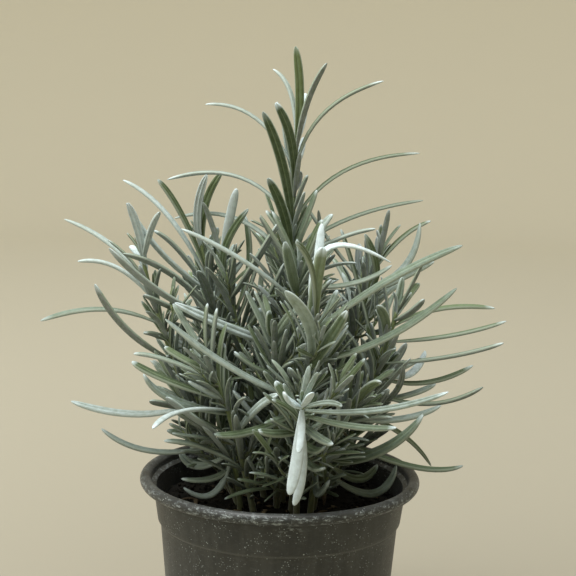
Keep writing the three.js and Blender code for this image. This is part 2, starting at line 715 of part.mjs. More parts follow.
function addPiece(group, name, solid, material) {
  const mesh = new THREE.Mesh(geometryOf(solid), material);
  mesh.name = name;
  group.add(mesh);
}

growPlant();

const lavender = new THREE.Group();
addPiece(lavender, "pot", potSolid(), potMaterial);
addPiece(lavender, "soil", soilSolid(), soilMaterial);
for (const shoot of SHOOTS) {
  addPiece(lavender, shoot.name, shootSolid(shoot), leafMaterial);
}

export default lavender;
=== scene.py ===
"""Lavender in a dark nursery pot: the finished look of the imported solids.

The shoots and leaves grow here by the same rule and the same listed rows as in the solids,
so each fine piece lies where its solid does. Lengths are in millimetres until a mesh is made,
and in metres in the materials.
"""

import math
import random

import bpy
import numpy as np
from mathutils import Matrix, Vector, noise


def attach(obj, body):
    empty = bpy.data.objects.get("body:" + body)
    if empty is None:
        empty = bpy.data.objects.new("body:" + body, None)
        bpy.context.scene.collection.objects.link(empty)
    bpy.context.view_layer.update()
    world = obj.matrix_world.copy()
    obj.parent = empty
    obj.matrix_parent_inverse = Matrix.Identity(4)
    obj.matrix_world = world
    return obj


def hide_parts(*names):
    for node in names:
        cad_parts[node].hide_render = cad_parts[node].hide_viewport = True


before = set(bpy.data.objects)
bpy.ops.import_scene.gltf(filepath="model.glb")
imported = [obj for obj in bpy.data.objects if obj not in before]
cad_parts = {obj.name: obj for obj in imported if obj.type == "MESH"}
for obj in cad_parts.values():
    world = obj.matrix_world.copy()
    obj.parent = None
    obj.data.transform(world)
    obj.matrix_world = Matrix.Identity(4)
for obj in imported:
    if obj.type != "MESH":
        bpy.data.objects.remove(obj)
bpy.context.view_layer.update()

MM = 0.001

# ---------------------------------------------------------------- pot and soil dimensions

POT_HEIGHT = 95
RIM_RADIUS = 60  # outside of the rolled rim
LIP_RADIUS = 2.4
LIP_FOOT = POT_HEIGHT - 2 * LIP_RADIUS
COLLAR_TOP_RADIUS = 54.3
COLLAR_FOOT_RADIUS = 52.3
COLLAR_HEIGHT = 20
COLLAR_FOOT = POT_HEIGHT - COLLAR_HEIGHT
STEP = 1.2
STEP_SLOPE = 1.2  # height over which the step leads from the body to the collar
BODY_TOP_RADIUS = COLLAR_FOOT_RADIUS - STEP
BASE_RADIUS = 45
BASE_CORNER = 2
WALL = 1.3
FLOOR = 1.8
DRAIN_HOLES = 6
DRAIN_RADIUS = 3.5
DRAIN_CIRCLE = 34
GAP = 0.3  # between pieces that touch
SOIL_TOP = 82
SOIL_SHOULDER = 1  # how far the soil falls away at the wall
SOIL_UNEVEN = 0.9
LONG_WAVE = 5.3  # the unevenness of the soil, in millimetres to a radian of its two waves
SHORT_WAVE = 3.4
SHORT_WAVE_SHARE = 0.5

# ---------------------------------------------------------------- shoot and leaf dimensions

STEM_FOOT_RADIUS = 1.45
STEM_TIP_RADIUS = 0.75
ROOTED = 13  # depth of a stem's foot in the soil
LEAF_THICK = 1.9  # with the margins rolled under

SEED = 73
PAIR_TURN = math.pi / 2  # each pair stands across the one below
PAIR_PLACE = 0.6  # where a pair sits on its own stretch of the stem
LOW_SPREAD = 1.25  # angle between stem and leaf at the foot of a shoot, in radians
TOP_SPREAD = 0.35
LOW_LENGTH = 0.8  # share of the shoot's leaf length at its foot
TOP_LENGTH = 0.6  # what the fall toward its tip leaves of a full length
LEAF_WIDTHS = (3.4, 4.6)
TURN_PLAY = (-0.5, 0.5)  # how far a leaf strays from the rule, in radians
SPREAD_PLAY = (-0.3, 0.3)
LENGTH_PLAY = (0.75, 1.1)  # and as shares of its length
RISE_PLAY = (-0.03, 0.12)
TRIES = 14
LATE_LENGTH = 0.7  # share of the length from the middle one of the tries on

CLEARANCE = 2.6  # between the traced points of leaves and stems of two shoots
OWN_CLEARANCE = 1.8  # and within one shoot, past the root of the leaf
TRACE_STEPS = 24
TRACE_SIDES = (-0.5, 0, 0.5)
ROOT_SHARE = 3 / TRACE_STEPS  # of a leaf's trace, which its stem hides from other shoots
FOOT_SHARE = 8 / TRACE_STEPS  # and which lies beside its twin
SOIL_CLEARANCE = 3.5
RIM_CLEARANCE = 2.5
DEPTH_SHIFTS = [0, -5, 5, -10, 10, -15, 15, -20, 20, -26, 26]
TIP_PULL = 0.55  # how far the middle of a listed leaf has gone to its tip's depth
DOME = {"up": 148, "high": 62, "low": 80, "side": 66, "front": 66, "back": 90}

EYE_AWAY = 600  # the eye of the photo's view: in front of the pot's axis, and above its underside
EYE_UP = 274

# ---------------------------------------------------------------- curves


def seen(across, up, depth):
    """The place at that depth which the eye sees there on the plane through the pot's axis."""
    grow = (EYE_AWAY + depth) / EYE_AWAY
    return np.array([across * grow, depth, EYE_UP + (up - EYE_UP) * grow])


def unit(vector):
    return vector / np.linalg.norm(vector, axis=-1, keepdims=True)


def arc(root, middle, tip):
    """The three control points of a quadratic curve that passes through the middle half-way."""
    return np.array([root, 2 * middle - 0.5 * root - 0.5 * tip, tip])


def point_at(curve, t):
    t = np.asarray(t, float)[..., None]
    return (1 - t) ** 2 * curve[0] + 2 * (1 - t) * t * curve[1] + t**2 * curve[2]


def direction(curve, t):
    t = np.asarray(t, float)[..., None]
    return unit((curve[1] - curve[0]) * (1 - t) + (curve[2] - curve[1]) * t)


def outward(stem, place, turn):
    """The direction square to a stem there, at an angle round it."""
    along = direction(stem, place)
    right = unit(np.cross([0.0, 1.0, 0.0], along))
    return right * math.cos(turn) + np.cross(along, right) * math.sin(turn)


def leaning(along, out, spread):
    """A direction that leans out from a stem's own by the spread, and the one that rises square to it."""
    lean = along * math.cos(spread) + out * math.sin(spread)
    return lean, along * math.sin(spread) - out * math.cos(spread)


def trace_stem(stem):
    return point_at(stem, np.arange(2 * TRACE_STEPS + 1) / (2 * TRACE_STEPS))


# ---------------------------------------------------------------- shoots and listed leaves


def row(*numbers, **look):
    """A listed leaf: its place on the stem from 0 to 1, its middle across and up, its tip across,
    up and deep, and its width. One number more says how far it turns its upper face to the viewer,
    or below 0 its underside. In its look, felt makes a leaf white all over and tip only at its end,
    young makes it yellow green and a low tone dark. It can be slim, and more or less blunt.
    """
    return numbers, look


def new_shoot(name, foot, middle, tip, pairs, start, length, rows=()):
    """A shoot from its foot on the soil (x, y) to its tip, with its middle and tip across, up and deep.
    Pairs of leaves fill it by rule: how many pairs, from which place on the stem up, how long.
    """
    stem = arc(np.array([*foot, SOIL_TOP - ROOTED], float), seen(*middle), seen(*tip))
    return {
        "name": "shoot_" + name, "stem": stem, "pairs": pairs, "start": start, "length": length,
        "rows": rows, "grown": [], "small": [], "twigs": [], "cloud": trace_stem(stem),
    }


SHOOTS = [
    new_shoot("tall", (2, 9), (2.4, 160, 10), (4, 236, 14), 5, 0.3, 44, [
        row(1, 4.9, 257, 2.8, 276, 12, 3.9, 1, tone=0.1, felt=0, tip=0.1),
        row(0.98, 1.8, 255.3, -6.3, 266.5, 18, 3, felt=0.5),
        row(0.97, 8, 252.8, 15.9, 269.5, 14, 3),
        row(1, 6.4, 247, 7.4, 257, 20, 3.4, -1, felt=1),
        row(0.86, 1.9, 237, -5, 252.8, 2, 4.1, 0.8, tone=0.1, felt=0, tip=1),
        row(0.75, -1.4, 226.5, -10.2, 249, -2, 4.3, 0.9, tone=0, felt=0, tip=0.2),
        row(0.92, -13, 246.2, -34, 251.5, 20, 3.2, felt=0.4),
        row(0.9, 13.8, 247.5, 39.5, 262.6, 18, 3.4, tone=0.5, felt=0, tip=1),
        row(0.93, 5.9, 232.5, 6.9, 238.8, 20, 2.8, -1, felt=1),
        row(0.77, 23.5, 224.8, 55.5, 233.2, 22, 3.4, tone=0.3, felt=0, tip=0.6),
        row(0.69, 27, 205.4, 57.6, 213.6, 26, 3.4, tone=0.6, felt=0.1),
        row(0.77, -19, 221.6, -49.5, 220, 24, 3.4, felt=0.3),
        row(0.68, -0.6, 206.5, -7.6, 221.6, -6, 4.4, 0.9, tone=0.1, felt=0, tip=0.3),
        row(0.66, -20, 204.2, -46.5, 203.8, 32, 3.4, felt=0.3),
        row(0.86, 5.3, 220.4, 5.9, 224.8, 16, 2.6, -0.8),
        row(0.8, 6.2, 216.5, 9, 223.2, 10, 2.8),
        row(0.68, 8.5, 204.5, 13, 217, 4, 3.4, 0.5),
        row(0.66, 22, 196.4, 38, 201.2, 0, 3.4),
    ]),
    new_shoot("upper_left", (-8, 15), (-23, 138, 18), (-36, 197, 22), 3, 0.35, 40, [
        row(0.83, -49, 205, -68, 219.5, 30, 3.6, felt=0.6),
        row(0.87, -43.5, 206, -53.5, 220, 14, 3.4, 0.5, tone=0.1, felt=0),
        row(0.95, -36.8, 207, -33, 222.5, 16, 3.6, -0.6, felt=0.7),
        row(0.92, -34, 208, -26.5, 224, 30, 3.6, 0.8, tone=0.2, felt=0),
        row(0.78, -44, 190, -55, 198.5, 10, 3.4),
        row(0.79, -51, 188.6, -66.5, 210, 4, 3.9),
        row(0.66, -46, 165.4, -59, 171.2, -4, 3.6),
        row(0.7, -47, 180, -68, 188.5, -4, 3.8),
    ]),
    new_shoot("left", (-13, 4), (-44, 138, 4), (-60, 189, 6), 3, 0.3, 38, [
        row(0.93, -61, 197, -66, 210, 12, 3.6, -0.6, felt=0.75),
        row(0.78, -70, 182.4, -87, 184.8, 0, 3.8),
        row(0.84, -72, 191.6, -92.5, 202.6, 16, 3.6, felt=0.5),
        row(0.96, -56.5, 198, -52.5, 206.5, 2, 3.2),
        row(0.9, -60.5, 187.6, -65, 191.8, -6, 3.8, felt=1),
        row(0.68, -76, 164.6, -102.8, 159, -6, 3.8),
        row(0.54, -66, 156, -79.7, 175.4, -14, 3.8),
        row(0.62, -54, 154.2, -58.8, 154.8, -10, 3.6),
    ]),
    new_shoot("mid_left", (-5, 5), (-16, 140, 14), (-27, 190, 20), 3, 0.3, 40, [
        row(0.96, -23.5, 203, -20.5, 217, 18, 4, -0.9, felt=0.8),
        row(0.86, -25, 192, -15.5, 208.5, 10, 3.6, 0.6, tone=0.2, felt=0),
        row(0.78, -15, 181.5, -2, 204, 2, 3.8),
        row(0.72, -15, 184, -17, 206, 28, 3.6),
        row(0.62, -9, 167.5, 0, 186, -6, 3.8, 0.4),
        row(0.68, -47, 169.4, -73.8, 190.8, -14, 3.8),
    ]),
    new_shoot("middle", (1, -1), (3, 132, -4), (6, 180, -8), 4, 0.3, 40, [
        row(0.92, 3.5, 181, 0, 195, -18, 4.6, 0.9, tone=0.6, felt=0.1),
        row(0.88, -18, 187, -43.5, 199.5, -14, 4, felt=0.5),
        row(0.98, -1, 191, -10.5, 206, 2, 3.6),
        row(1, 2, 193, -5.5, 207.5, -2, 3.4, 0.3),
        row(0.96, 28, 177.6, 45.3, 186, 0, 3.6),
        row(0.98, 13, 197, 19.8, 207, 4, 3.4),
        row(0.97, 10.6, 193.5, 15.6, 204.6, -6, 4.2),
        row(0.66, -21, 157, -46, 168, -22, 4, 0.6),
    ]),
    new_shoot("inner", (-1, -8), (-2, 118, -16), (-4, 154, -20), 3, 0.25, 36, [
        row(1, -5.5, 158, -6, 165.5, -22, 3.6, 0.6),
        row(0.98, 0, 160, 4, 165.5, -26, 3.8, 0.6),
        row(0.92, -7, 157, -10, 166.5, -16, 4),
        row(0.88, -1, 150, 2.5, 160.5, -14, 3.4, 0.5),
        row(0.8, 2, 149, 8, 160.5, -26, 3.6),
        row(0.76, -11, 140.5, -20.5, 147.5, -28, 3.8),
    ]),
    new_shoot("front", (4, -10), (9, 121, -26), (13, 160, -34), 2, 0.3, 36, [
        row(0.72, 12, 157.5, 0.5, 174, -50, 5.2, 1, tone=1, felt=0.4, young=0.35, tip=0.3),
        row(0.88, 13.2, 172, 16, 193, -42, 5, 0.9, tone=0.9, felt=0.1, young=0.65, tip=1, blunt=12),
        row(0.95, 14, 182, 15.5, 203, -22, 3.9, -0.9, felt=1),
        row(0.97, 16.5, 191.5, 45, 187, -22, 4.1, felt=1, blunt=2.5),
        row(0.98, 12, 182, 4.5, 195, -30, 3.8, 0.5),
        row(0.7, 19, 152, 27, 166, -48, 4.3, 0.7),
        row(0.94, 44, 179.6, 74.7, 195, -8, 3.9, tone=0.8, felt=0.15, young=0),
        row(0.76, 43, 154.4, 73, 176.8, -14, 3.9, tone=0.7, felt=0.1, young=0),
        row(0.56, -20, 139.5, -50, 161, -36, 3.9, felt=0.3),
        row(0.52, -12, 113, -28.5, 111, -44, 4.3),
        row(0.66, 6.5, 136, 3, 141, -44, 3.8, tone=0.6, young=0.6, tip=0.8),
    ]),
    new_shoot("front_low", (7, -19), (8, 104, -38), (9, 124, -56), 1, 0.35, 28, [
        row(0.98, 3.5, 126.5, 1.5, 129.5, -74, 4.4, felt=1, tip=1),
        row(0.99, 11, 127, 12.5, 130, -76, 4.4, felt=1, tip=1),
        row(0.92, 7.4, 102, 4.2, 84.7, -66, 4.8, -0.9, felt=0.88, tip=1),
        row(0.8, 9.5, 96, 6.2, 80, -58, 3.8, -0.9, felt=0.86, tip=1),
        row(0.93, 41, 123.2, 71.3, 131.8, -46, 4.3, tone=0.5, felt=0.35, young=0, tip=1, slim=0.65),
        row(0.86, 30, 116, 49.5, 115.6, -60, 4.1, tone=0.3, felt=0.1, young=0, tip=1, slim=0.7),
        row(0.62, 14, 105, 19, 106.5, -58, 4),
        row(0.76, 15, 111.5, 22.5, 107.5, -62, 3.8),
        row(0.5, 14, 97.5, 19, 97, -56, 3.8),
        row(0.66, -2, 112, -9.5, 113, -56, 4),
        row(0.96, 19, 126, 26, 124.5, -58, 3.8, tone=0.6, felt=0.3, young=0, tip=1, slim=0.6),
        row(0.97, 8.8, 112, 7.6, 103.5, -72, 3, -0.9, felt=0.86, tip=0.6),
    ]),
    new_shoot("front_left", (-8.5, -15), (-19, 109, -22), (-33, 146, -26), 1, 0.3, 30, [
        row(0.97, -33, 158, -32, 168, -22, 3.6),
        row(0.9, -29.5, 154, -28, 166, -34, 3.8),
        row(0.82, -48.5, 143, -63.3, 145.6, -32, 3.8, tone=0.8, felt=0.2, tip=0.6),
        row(0.88, -42, 144, -50, 149, -18, 3.4),
        row(0.72, -49, 134.6, -64, 142.3, -16, 4),
        row(0.64, -47, 126.4, -59, 136.8, -38, 4.6, 0.4),
        row(0.46, -38, 118.6, -48.8, 127, -40, 4.4),
        row(0.66, -43, 120.8, -54.8, 113, -50, 4.2, felt=0.7, tip=1),
        row(0.52, -11, 122.5, -1.5, 129, -42, 4.2, 0.5, felt=0.5, tip=0.8),
        row(0.34, -33, 105, -50, 107.6, -34, 4.2),
    ]),
    new_shoot("low_left", (-14, -5), (-27, 103, -7), (-43, 127, -10), 2, 0.35, 32, [
        row(0.9, -64, 119.4, -90, 124.4, 16, 3.6),
        row(0.55, -56, 103.2, -77, 112.6, -8, 3.8),
        row(0.62, -37, 110.5, -48, 115.5, -14, 3.8),
        row(0.5, -37, 109, -48.8, 112.4, 8, 3.8),
        row(0.95, -47, 133, -55, 143, 8, 3.8),
    ]),
    new_shoot("low_right", (13, -7), (20, 102, -16), (33, 128, -22), 1, 0.35, 32, [
        row(0.45, 44, 106, 60.8, 121.5, -36, 5.2, 0.5, tone=0.7, felt=0.1),
        row(0.82, 50, 119.4, 68.3, 125.8, -12, 3.8),
        row(0.88, 51, 113.4, 65, 99, 0, 3.4),
        row(0.66, 56, 98.8, 78.8, 99.3, -26, 3.8),
        row(0.8, 35, 131, 42.4, 135.6, -36, 4.6, 0.8, tone=1, felt=0.1, young=0.7, tip=0.8, slim=0.8),
    ]),
    new_shoot("right", (12, 5), (33, 119, 4), (48, 166, 6), 3, 0.3, 36, [
        row(0.86, 71, 156.3, 94.6, 163, 0, 3.8),
        row(0.76, 70, 147, 93.9, 153.6, -12, 3.8),
        row(0.7, 60.5, 135.6, 81.3, 143.6, 8, 3.6),
        row(0.63, 63, 126.4, 86, 134.3, -16, 3.8),
        row(0.93, 66, 167.8, 89.5, 168.4, 18, 3.6),
        row(0.95, 48.5, 171, 50, 181, 12, 3.6),
        row(0.96, 53.5, 165.8, 59.4, 171.8, -4, 3.6),
        row(0.98, 52.5, 173, 57, 178.5, 22, 3.6),
        row(0.82, 43.6, 161, 39.6, 168.6, -14, 4.2, 0.8, tone=0.9, felt=0.1, young=0.2),
        row(0.56, 47.5, 130, 51.6, 142.7, -18, 4, tone=0.2, felt=0, slim=0.7),
        row(0.72, 53.5, 138.8, 60.7, 149.5, 24, 4, felt=0.9),
        row(0.58, 53, 129.8, 65.6, 135.3, 20, 3.8),
        row(0.74, 31.5, 177, 23.4, 200.8, -4, 3.4),
    ]),
    new_shoot("upper_right", (8, 15), (25, 137, 16), (40, 190, 20), 3, 0.3, 38, [
        row(0.83, 50, 180.6, 63, 188, 32, 3.6),
        row(0.94, 49, 197.6, 61, 205, 26, 3.6),
        row(0.86, 51, 186, 56.5, 204, 6, 3.9, 0.5),
        row(0.84, 39, 184, 33.5, 199, 6, 4, 0.6),
        row(0.6, 14, 165, 6.5, 190, 26, 3.6),
        row(0.86, 22, 191.5, 7.4, 212.3, 10, 3.2),
    ]),
    new_shoot("pot_left", (-16, -13), (-18.5, 92, -17), (-24, 103, -20), 1, 0.5, 22, [
        row(0.9, -35, 97, -43.2, 103, -6, 4),
        row(0.7, -29, 91.5, -42.5, 91, -22, 4.4),
        row(0.78, -29, 84.5, -41.5, 87, -34, 3.8, felt=0.6, tip=0.7),
    ]),
    new_shoot("pot_right", (13, -17), (15, 91, -22), (21, 101, -26), 1, 0.5, 22, [
        row(0.9, 33, 92.5, 42, 99, -2, 3.8),
        row(0.72, 39, 86, 50, 99, -16, 3.8),
        row(0.6, 16.5, 86, 21.5, 91.5, -38, 3.9, 0.8, felt=0.35, tip=0.8),
    ]),
    new_shoot("back", (0, 21), (1, 142, 36), (2, 186, 46), 7, 0.25, 46),
    new_shoot("back_left", (-12, 24), (-24, 132, 42), (-34, 172, 54), 7, 0.25, 46),
    new_shoot("back_right", (11, 24), (24, 134, 40), (32, 176, 50), 7, 0.25, 46),
    new_shoot("back_low_left", (-18, 12), (-31, 109, 27), (-43, 138, 38), 5, 0.3, 42),
    new_shoot("back_low_right", (18, 12), (31, 109, 27), (42, 137, 38), 5, 0.3, 42),
    new_shoot("back_low", (3, 30), (4, 112, 46), (6, 138, 62), 5, 0.3, 42),
]

# ---------------------------------------------------------------- the rule that leaves follow

lehmer = SEED


def draw():
    """A draw between 0 and 1 from a Lehmer generator, the same as the solids use."""
    global lehmer
    lehmer = (lehmer * 16807) % 2147483647
    return lehmer / 2147483647


def between(low, high):
    return low + (high - low) * draw()


def make_leaf(stem, place, middle, tip, width, facing=0.0):
    """A leaf turns its upper face to its stem, and from there by its own share to the viewer."""
    root = point_at(stem, place)
    reach = unit(tip - root)
    face = np.cross(reach, unit(np.cross(direction(stem, place), reach))) * (1 - abs(facing))
    face[1] -= facing
    across = unit(np.cross(face, reach))
    return {"curve": arc(root, middle, tip), "across": across, "width": width, "place": place, "look": {}}


def leaf_across(leaf, t):
    along = direction(leaf["curve"], t)
    lean = np.sum(along * leaf["across"], axis=-1, keepdims=True)
    return unit(leaf["across"] - along * lean)


def trace_leaf(leaf, steps=TRACE_STEPS):
    """Points along a leaf's middle and both its edges."""
    t = np.arange(1, steps + 1) / steps
    middle = point_at(leaf["curve"], t)
    across = leaf_across(leaf, t)
    rows = [middle + side * leaf["width"] * across for side in TRACE_SIDES]
    return np.stack(rows, axis=1).reshape(-1, 3)


def nearer_than(points, others, distance):
    inside = np.all((others > points.min(0) - distance) & (others < points.max(0) + distance), axis=1)
    near = others[inside]
    if not len(near):
        return False
    gaps = points[:, None, :] - near[None, :, :]
    return bool((np.sum(gaps * gaps, axis=2) < distance * distance).any())


def clear_of_pot(points):
    radius = np.hypot(points[:, 0], points[:, 1])
    over_soil = points[:, 2] > SOIL_TOP + SOIL_CLEARANCE
    over_rim = points[:, 2] > POT_HEIGHT + RIM_CLEARANCE
    return bool(np.all(over_soil & (over_rim | (radius < COLLAR_TOP_RADIUS - WALL - RIM_CLEARANCE))))


def inside_dome(tip):
    deep = DOME["front"] if tip[1] < 0 else DOME["back"]
    tall = DOME["low"] if tip[2] < DOME["up"] else DOME["high"]
    return (tip[0] / DOME["side"]) ** 2 + (tip[1] / deep) ** 2 + ((tip[2] - DOME["up"]) / tall) ** 2 < 1


def clear_of_plant(shoot, points, apart, own):
    """The first trace points of a leaf are inside its stem or beside its twin, so they are passed over."""
    steps = len(points) // len(TRACE_SIDES)
    past_root = points[len(TRACE_SIDES) * round(ROOT_SHARE * steps) :]
    past_foot = points[len(TRACE_SIDES) * round(FOOT_SHARE * steps) :]
    for other in SHOOTS:
        if other is shoot:
            if nearer_than(past_foot, other["cloud"], own):
                return False
        elif nearer_than(past_root, other["cloud"], apart):
            return False
    return True


def join(shoot, kind, piece, points):
    """Adds a leaf or a twig to its shoot, and its trace to what the next ones stay clear of."""
    shoot[kind].append(piece)
    shoot["cloud"] = np.vstack([shoot["cloud"], points])


def try_leaf(shoot, leaf, kind="grown", apart=CLEARANCE, own=OWN_CLEARANCE, steps=TRACE_STEPS):
    points = trace_leaf(leaf, steps)
    if not clear_of_pot(points) or not clear_of_plant(shoot, points, apart, own):
        return False
    join(shoot, kind, leaf, points)
    return True


def grow_seen_leaf(shoot, numbers, look):
    """A listed leaf is bent nearer or farther along the line of sight until it is clear."""
    place, middle_across, middle_up, tip_across, tip_up, tip_depth, width, *facing = numbers
    root = point_at(shoot["stem"], place)
    for shift in DEPTH_SHIFTS:
        depth = tip_depth + shift
        middle = seen(middle_across, middle_up, root[1] + (depth - root[1]) * TIP_PULL)
        leaf = make_leaf(shoot["stem"], place, middle, seen(tip_across, tip_up, depth), width, *facing)
        leaf["look"] = look
        if try_leaf(shoot, leaf):
            return


def grow_ruled_leaf(shoot, place, azimuth):
    """A leaf placed by rule leans away from the stem at its own spread, and arches up a little."""
    stem = shoot["stem"]
    root = point_at(stem, place)
    grown = LOW_LENGTH + (1 - LOW_LENGTH) * math.sin(math.pi * place) - (1 - TOP_LENGTH) * place**4
    for attempt in range(TRIES):
        turn = azimuth + between(*TURN_PLAY)
        spread = LOW_SPREAD + (TOP_SPREAD - LOW_SPREAD) * place + between(*SPREAD_PLAY)
        late = 1 if attempt < TRIES / 2 else LATE_LENGTH
        length = shoot["length"] * grown * between(*LENGTH_PLAY) * late
        lean, rise = leaning(direction(stem, place), outward(stem, place, turn), spread)
        tip = root + lean * length
        middle = root + lean * 0.5 * length + rise * (length * between(*RISE_PLAY))
        width = between(*LEAF_WIDTHS)
        if inside_dome(tip) and try_leaf(shoot, make_leaf(stem, place, middle, tip, width)):
            return


def grow_pairs(shoot):
    first = between(0, math.pi)
    for pair in range(shoot["pairs"]):
        place = shoot["start"] + (1 - shoot["start"]) * ((pair + PAIR_PLACE) / shoot["pairs"])
        for side in (0, math.pi):
            grow_ruled_leaf(shoot, place, first + pair * PAIR_TURN + side)


def grow_plant():
    for shoot in SHOOTS:
        for numbers, look in shoot["rows"]:
            grow_seen_leaf(shoot, numbers, look)
    for shoot in SHOOTS:
        grow_pairs(shoot)


# ---------------------------------------------------------------- fine growth, only in this script

DETAIL_SEED = 11
detail = random.Random(DETAIL_SEED)

SMALL_TRACE = 12
UPRIGHT_SPREAD = 0.45  # a leaf nearer to its stem than this may stand out of the dome
OPEN_EDGE = np.array([1.28, 1.1, 1.0])  # the dome's sides are left to the long leaves
FIRST_HEIGHT = SOIL_TOP + SOIL_CLEARANCE + 1  # of the lowest leaves and twigs

# Leaves in pairs between the first ones: from the shoots' own stems, and from the side twigs.
FILLING = {
    "step": 3.7, "length": (18.0, 38.0), "width": (2.1, 3.1), "tries": 6, "apart": 0.9,
    "spread": 1.05, "closing": 0.75,
}
TWIG_LEAVES = {
    "step": 3.2, "length": (11.0, 26.0), "width": (1.8, 2.7), "tries": 5, "apart": 0.7,
    "spread": 0.85, "closing": 0.5,
}
SPREAD_STRAY = 0.25  # how far such a leaf strays from its rule, in radians
TURN_STRAY = 0.7
SMALL_RISE = (-0.02, 0.12)  # how far the middle of a leaf is raised, as a share of its length
LEAF_SHRINK = 0.86  # from one try to the next
SLIMNESS = 0.14  # the widest share of its length that such a leaf's width takes

TWIG_STEP = 9.0  # between the side twigs along a stem
TWIG_TURN = 2.4  # each one's angle round the stem past the one below, in radians
TWIG_LENGTH = (12.0, 34.0)
TWIG_SPREAD = (0.6, 1.15)
TWIG_BEND = 0.4  # share of its spread that a twig has left at its tip
TWIG_TOP = 0.86  # place on the stem above which no twig grows
TWIG_STRAY = 0.4
TWIG_TRIES = 4
TWIG_THIN = 3  # every third point of a twig's trace is tested
TWIG_ROOT = 3  # the first of them lie in its stem or next to it
TWIG_CLEARANCE = 1.3

TUFT_TURN = 1.1  # how far round its stem a tuft's leaf strays from the angle's middle, in radians
TUFT_LEAVES = (1, 3)  # small leaves in the angle between a leaf and its stem
TUFT_LENGTH = (5.0, 14.0)
TUFT_WIDTH = (1.5, 2.6)
TUFT_SPREAD = (0.25, 0.9)
TUFT_CLEARANCE = 0.7
BUD_PAIRS = 3  # closely set young leaves at the tip of a stem
SHOOT_BUD = 12.0  # length of the longest of them, on a shoot and on a twig
TWIG_BUD = 8.0
TWIG_FOOT = 0.25  # place on a twig above which it has leaves


def small_leaf(shoot, stem, place, out, spread, length, width, apart=TUFT_CLEARANCE):
    """Adds a short leaf that grows from the stem there, unless it would touch another."""
    root = point_at(stem, place)
    along = direction(stem, place)
    lean, rise = leaning(along, out, spread)
    middle = root + lean * 0.5 * length + rise * length * detail.uniform(*SMALL_RISE)
    tip = root + lean * length
    if not inside_dome(tip * OPEN_EDGE) and spread > UPRIGHT_SPREAD:
        return False
    across = unit(np.cross(along, lean))
    leaf = {"curve": arc(root, middle, tip), "across": across, "width": width, "place": place}
    return try_leaf(shoot, leaf, "small", apart, apart, SMALL_TRACE)


def stem_length(stem):
    return np.sum(np.linalg.norm(np.diff(trace_stem(stem), axis=0), axis=1))


def lowest_place(stem):
    """Where a stem comes clear of the soil."""
    heights = trace_stem(stem)[:, 2]
    return np.argmax(heights > FIRST_HEIGHT) / (len(heights) - 1)


def grow_filling(shoot, stem, start, rule):
    """Pairs of leaves along a stem or twig, shorter than the first ones, wherever there is room."""
    pairs = max(2, int(stem_length(stem) * (1 - start) / rule["step"]))
    first = detail.uniform(0, math.pi)
    for pair in range(pairs):
        place = start + (1 - start) * (pair + detail.uniform(0.2, 0.8)) / pairs
        for side in (0, math.pi):
            length = detail.uniform(*rule["length"]) * (0.7 + 0.3 * math.sin(math.pi * place))
            for _ in range(rule["tries"]):
                turn = first + pair * PAIR_TURN + side + detail.uniform(-TURN_STRAY, TURN_STRAY)
                out = outward(stem, place, turn)
                stray = detail.uniform(-SPREAD_STRAY, SPREAD_STRAY)
                spread = max(0.2, rule["spread"] - rule["closing"] * place + stray)
                width = min(detail.uniform(*rule["width"]), SLIMNESS * length)
                if small_leaf(shoot, stem, place, out, spread, length, width, rule["apart"]):
                    break
                length *= LEAF_SHRINK


def twig_stem(stem, place, turn):
    """A side twig that leaves its stem at a slant and then turns up along it."""
    root = point_at(stem, place)
    along = direction(stem, place)
    out = outward(stem, place, turn)
    half = 0.5 * detail.uniform(*TWIG_LENGTH) * (1.1 - 0.5 * place)
    spread = detail.uniform(*TWIG_SPREAD)
    middle = root + half * leaning(along, out, spread)[0]
    return arc(root, middle, middle + half * leaning(along, out, TWIG_BEND * spread)[0])


def grow_twigs(shoot):
    """Side twigs with small leaves of their own, which close the bush."""
    start = lowest_place(shoot["stem"])
    count = int(stem_length(shoot["stem"]) * (TWIG_TOP - start) / TWIG_STEP)
    first = detail.uniform(0, 2 * math.pi)
    for number in range(count):
        place = start + (TWIG_TOP - start) * (number + detail.uniform(0, 0.6)) / count
        for attempt in range(TWIG_TRIES):
            turn = first + number * TWIG_TURN + attempt * PAIR_TURN + detail.uniform(-TWIG_STRAY, TWIG_STRAY)
            stem = twig_stem(shoot["stem"], place, turn)
            points = trace_stem(stem)[::TWIG_THIN]
            if not inside_dome(stem[2] * OPEN_EDGE) or not clear_of_pot(points[TWIG_ROOT:]):
                continue
            if clear_of_plant(shoot, points, TWIG_CLEARANCE, TWIG_CLEARANCE):
                join(shoot, "twigs", stem, points)
                break


def grow_tufts(shoot):
    """Small leaves in the angles of the larger ones."""
    for leaf in list(shoot["grown"]):
        along = direction(shoot["stem"], leaf["place"])
        reach = leaf["curve"][2] - leaf["curve"][0]
        out = unit(reach - along * np.dot(reach, along))
        side = np.cross(along, out)
        for _ in range(detail.randint(*TUFT_LEAVES)):
            turn = detail.uniform(-TUFT_TURN, TUFT_TURN)
            place = min(leaf["place"] + detail.uniform(-0.01, 0.02), 0.995)
            small_leaf(
                shoot, shoot["stem"], place, out * math.cos(turn) + side * math.sin(turn),
                detail.uniform(*TUFT_SPREAD), detail.uniform(*TUFT_LENGTH), detail.uniform(*TUFT_WIDTH),
            )


def grow_bud(shoot, stem, largest):
    """Pairs of young leaves that close round the tip of a stem."""
    for pair in range(BUD_PAIRS):
        first = detail.uniform(0, 0.5) + pair * PAIR_TURN
        for side in (0, math.pi):
            out = outward(stem, 1.0, first + side)
            size = 1 - pair / (BUD_PAIRS + 1)
            length = largest * (0.3 + 0.7 * size) * detail.uniform(0.8, 1.2)
            spread = (0.15 + 0.2 * size) * detail.uniform(0.8, 1.2)
            small_leaf(shoot, stem, 0.97 + 0.01 * pair, out, spread, length, 0.2 * length)


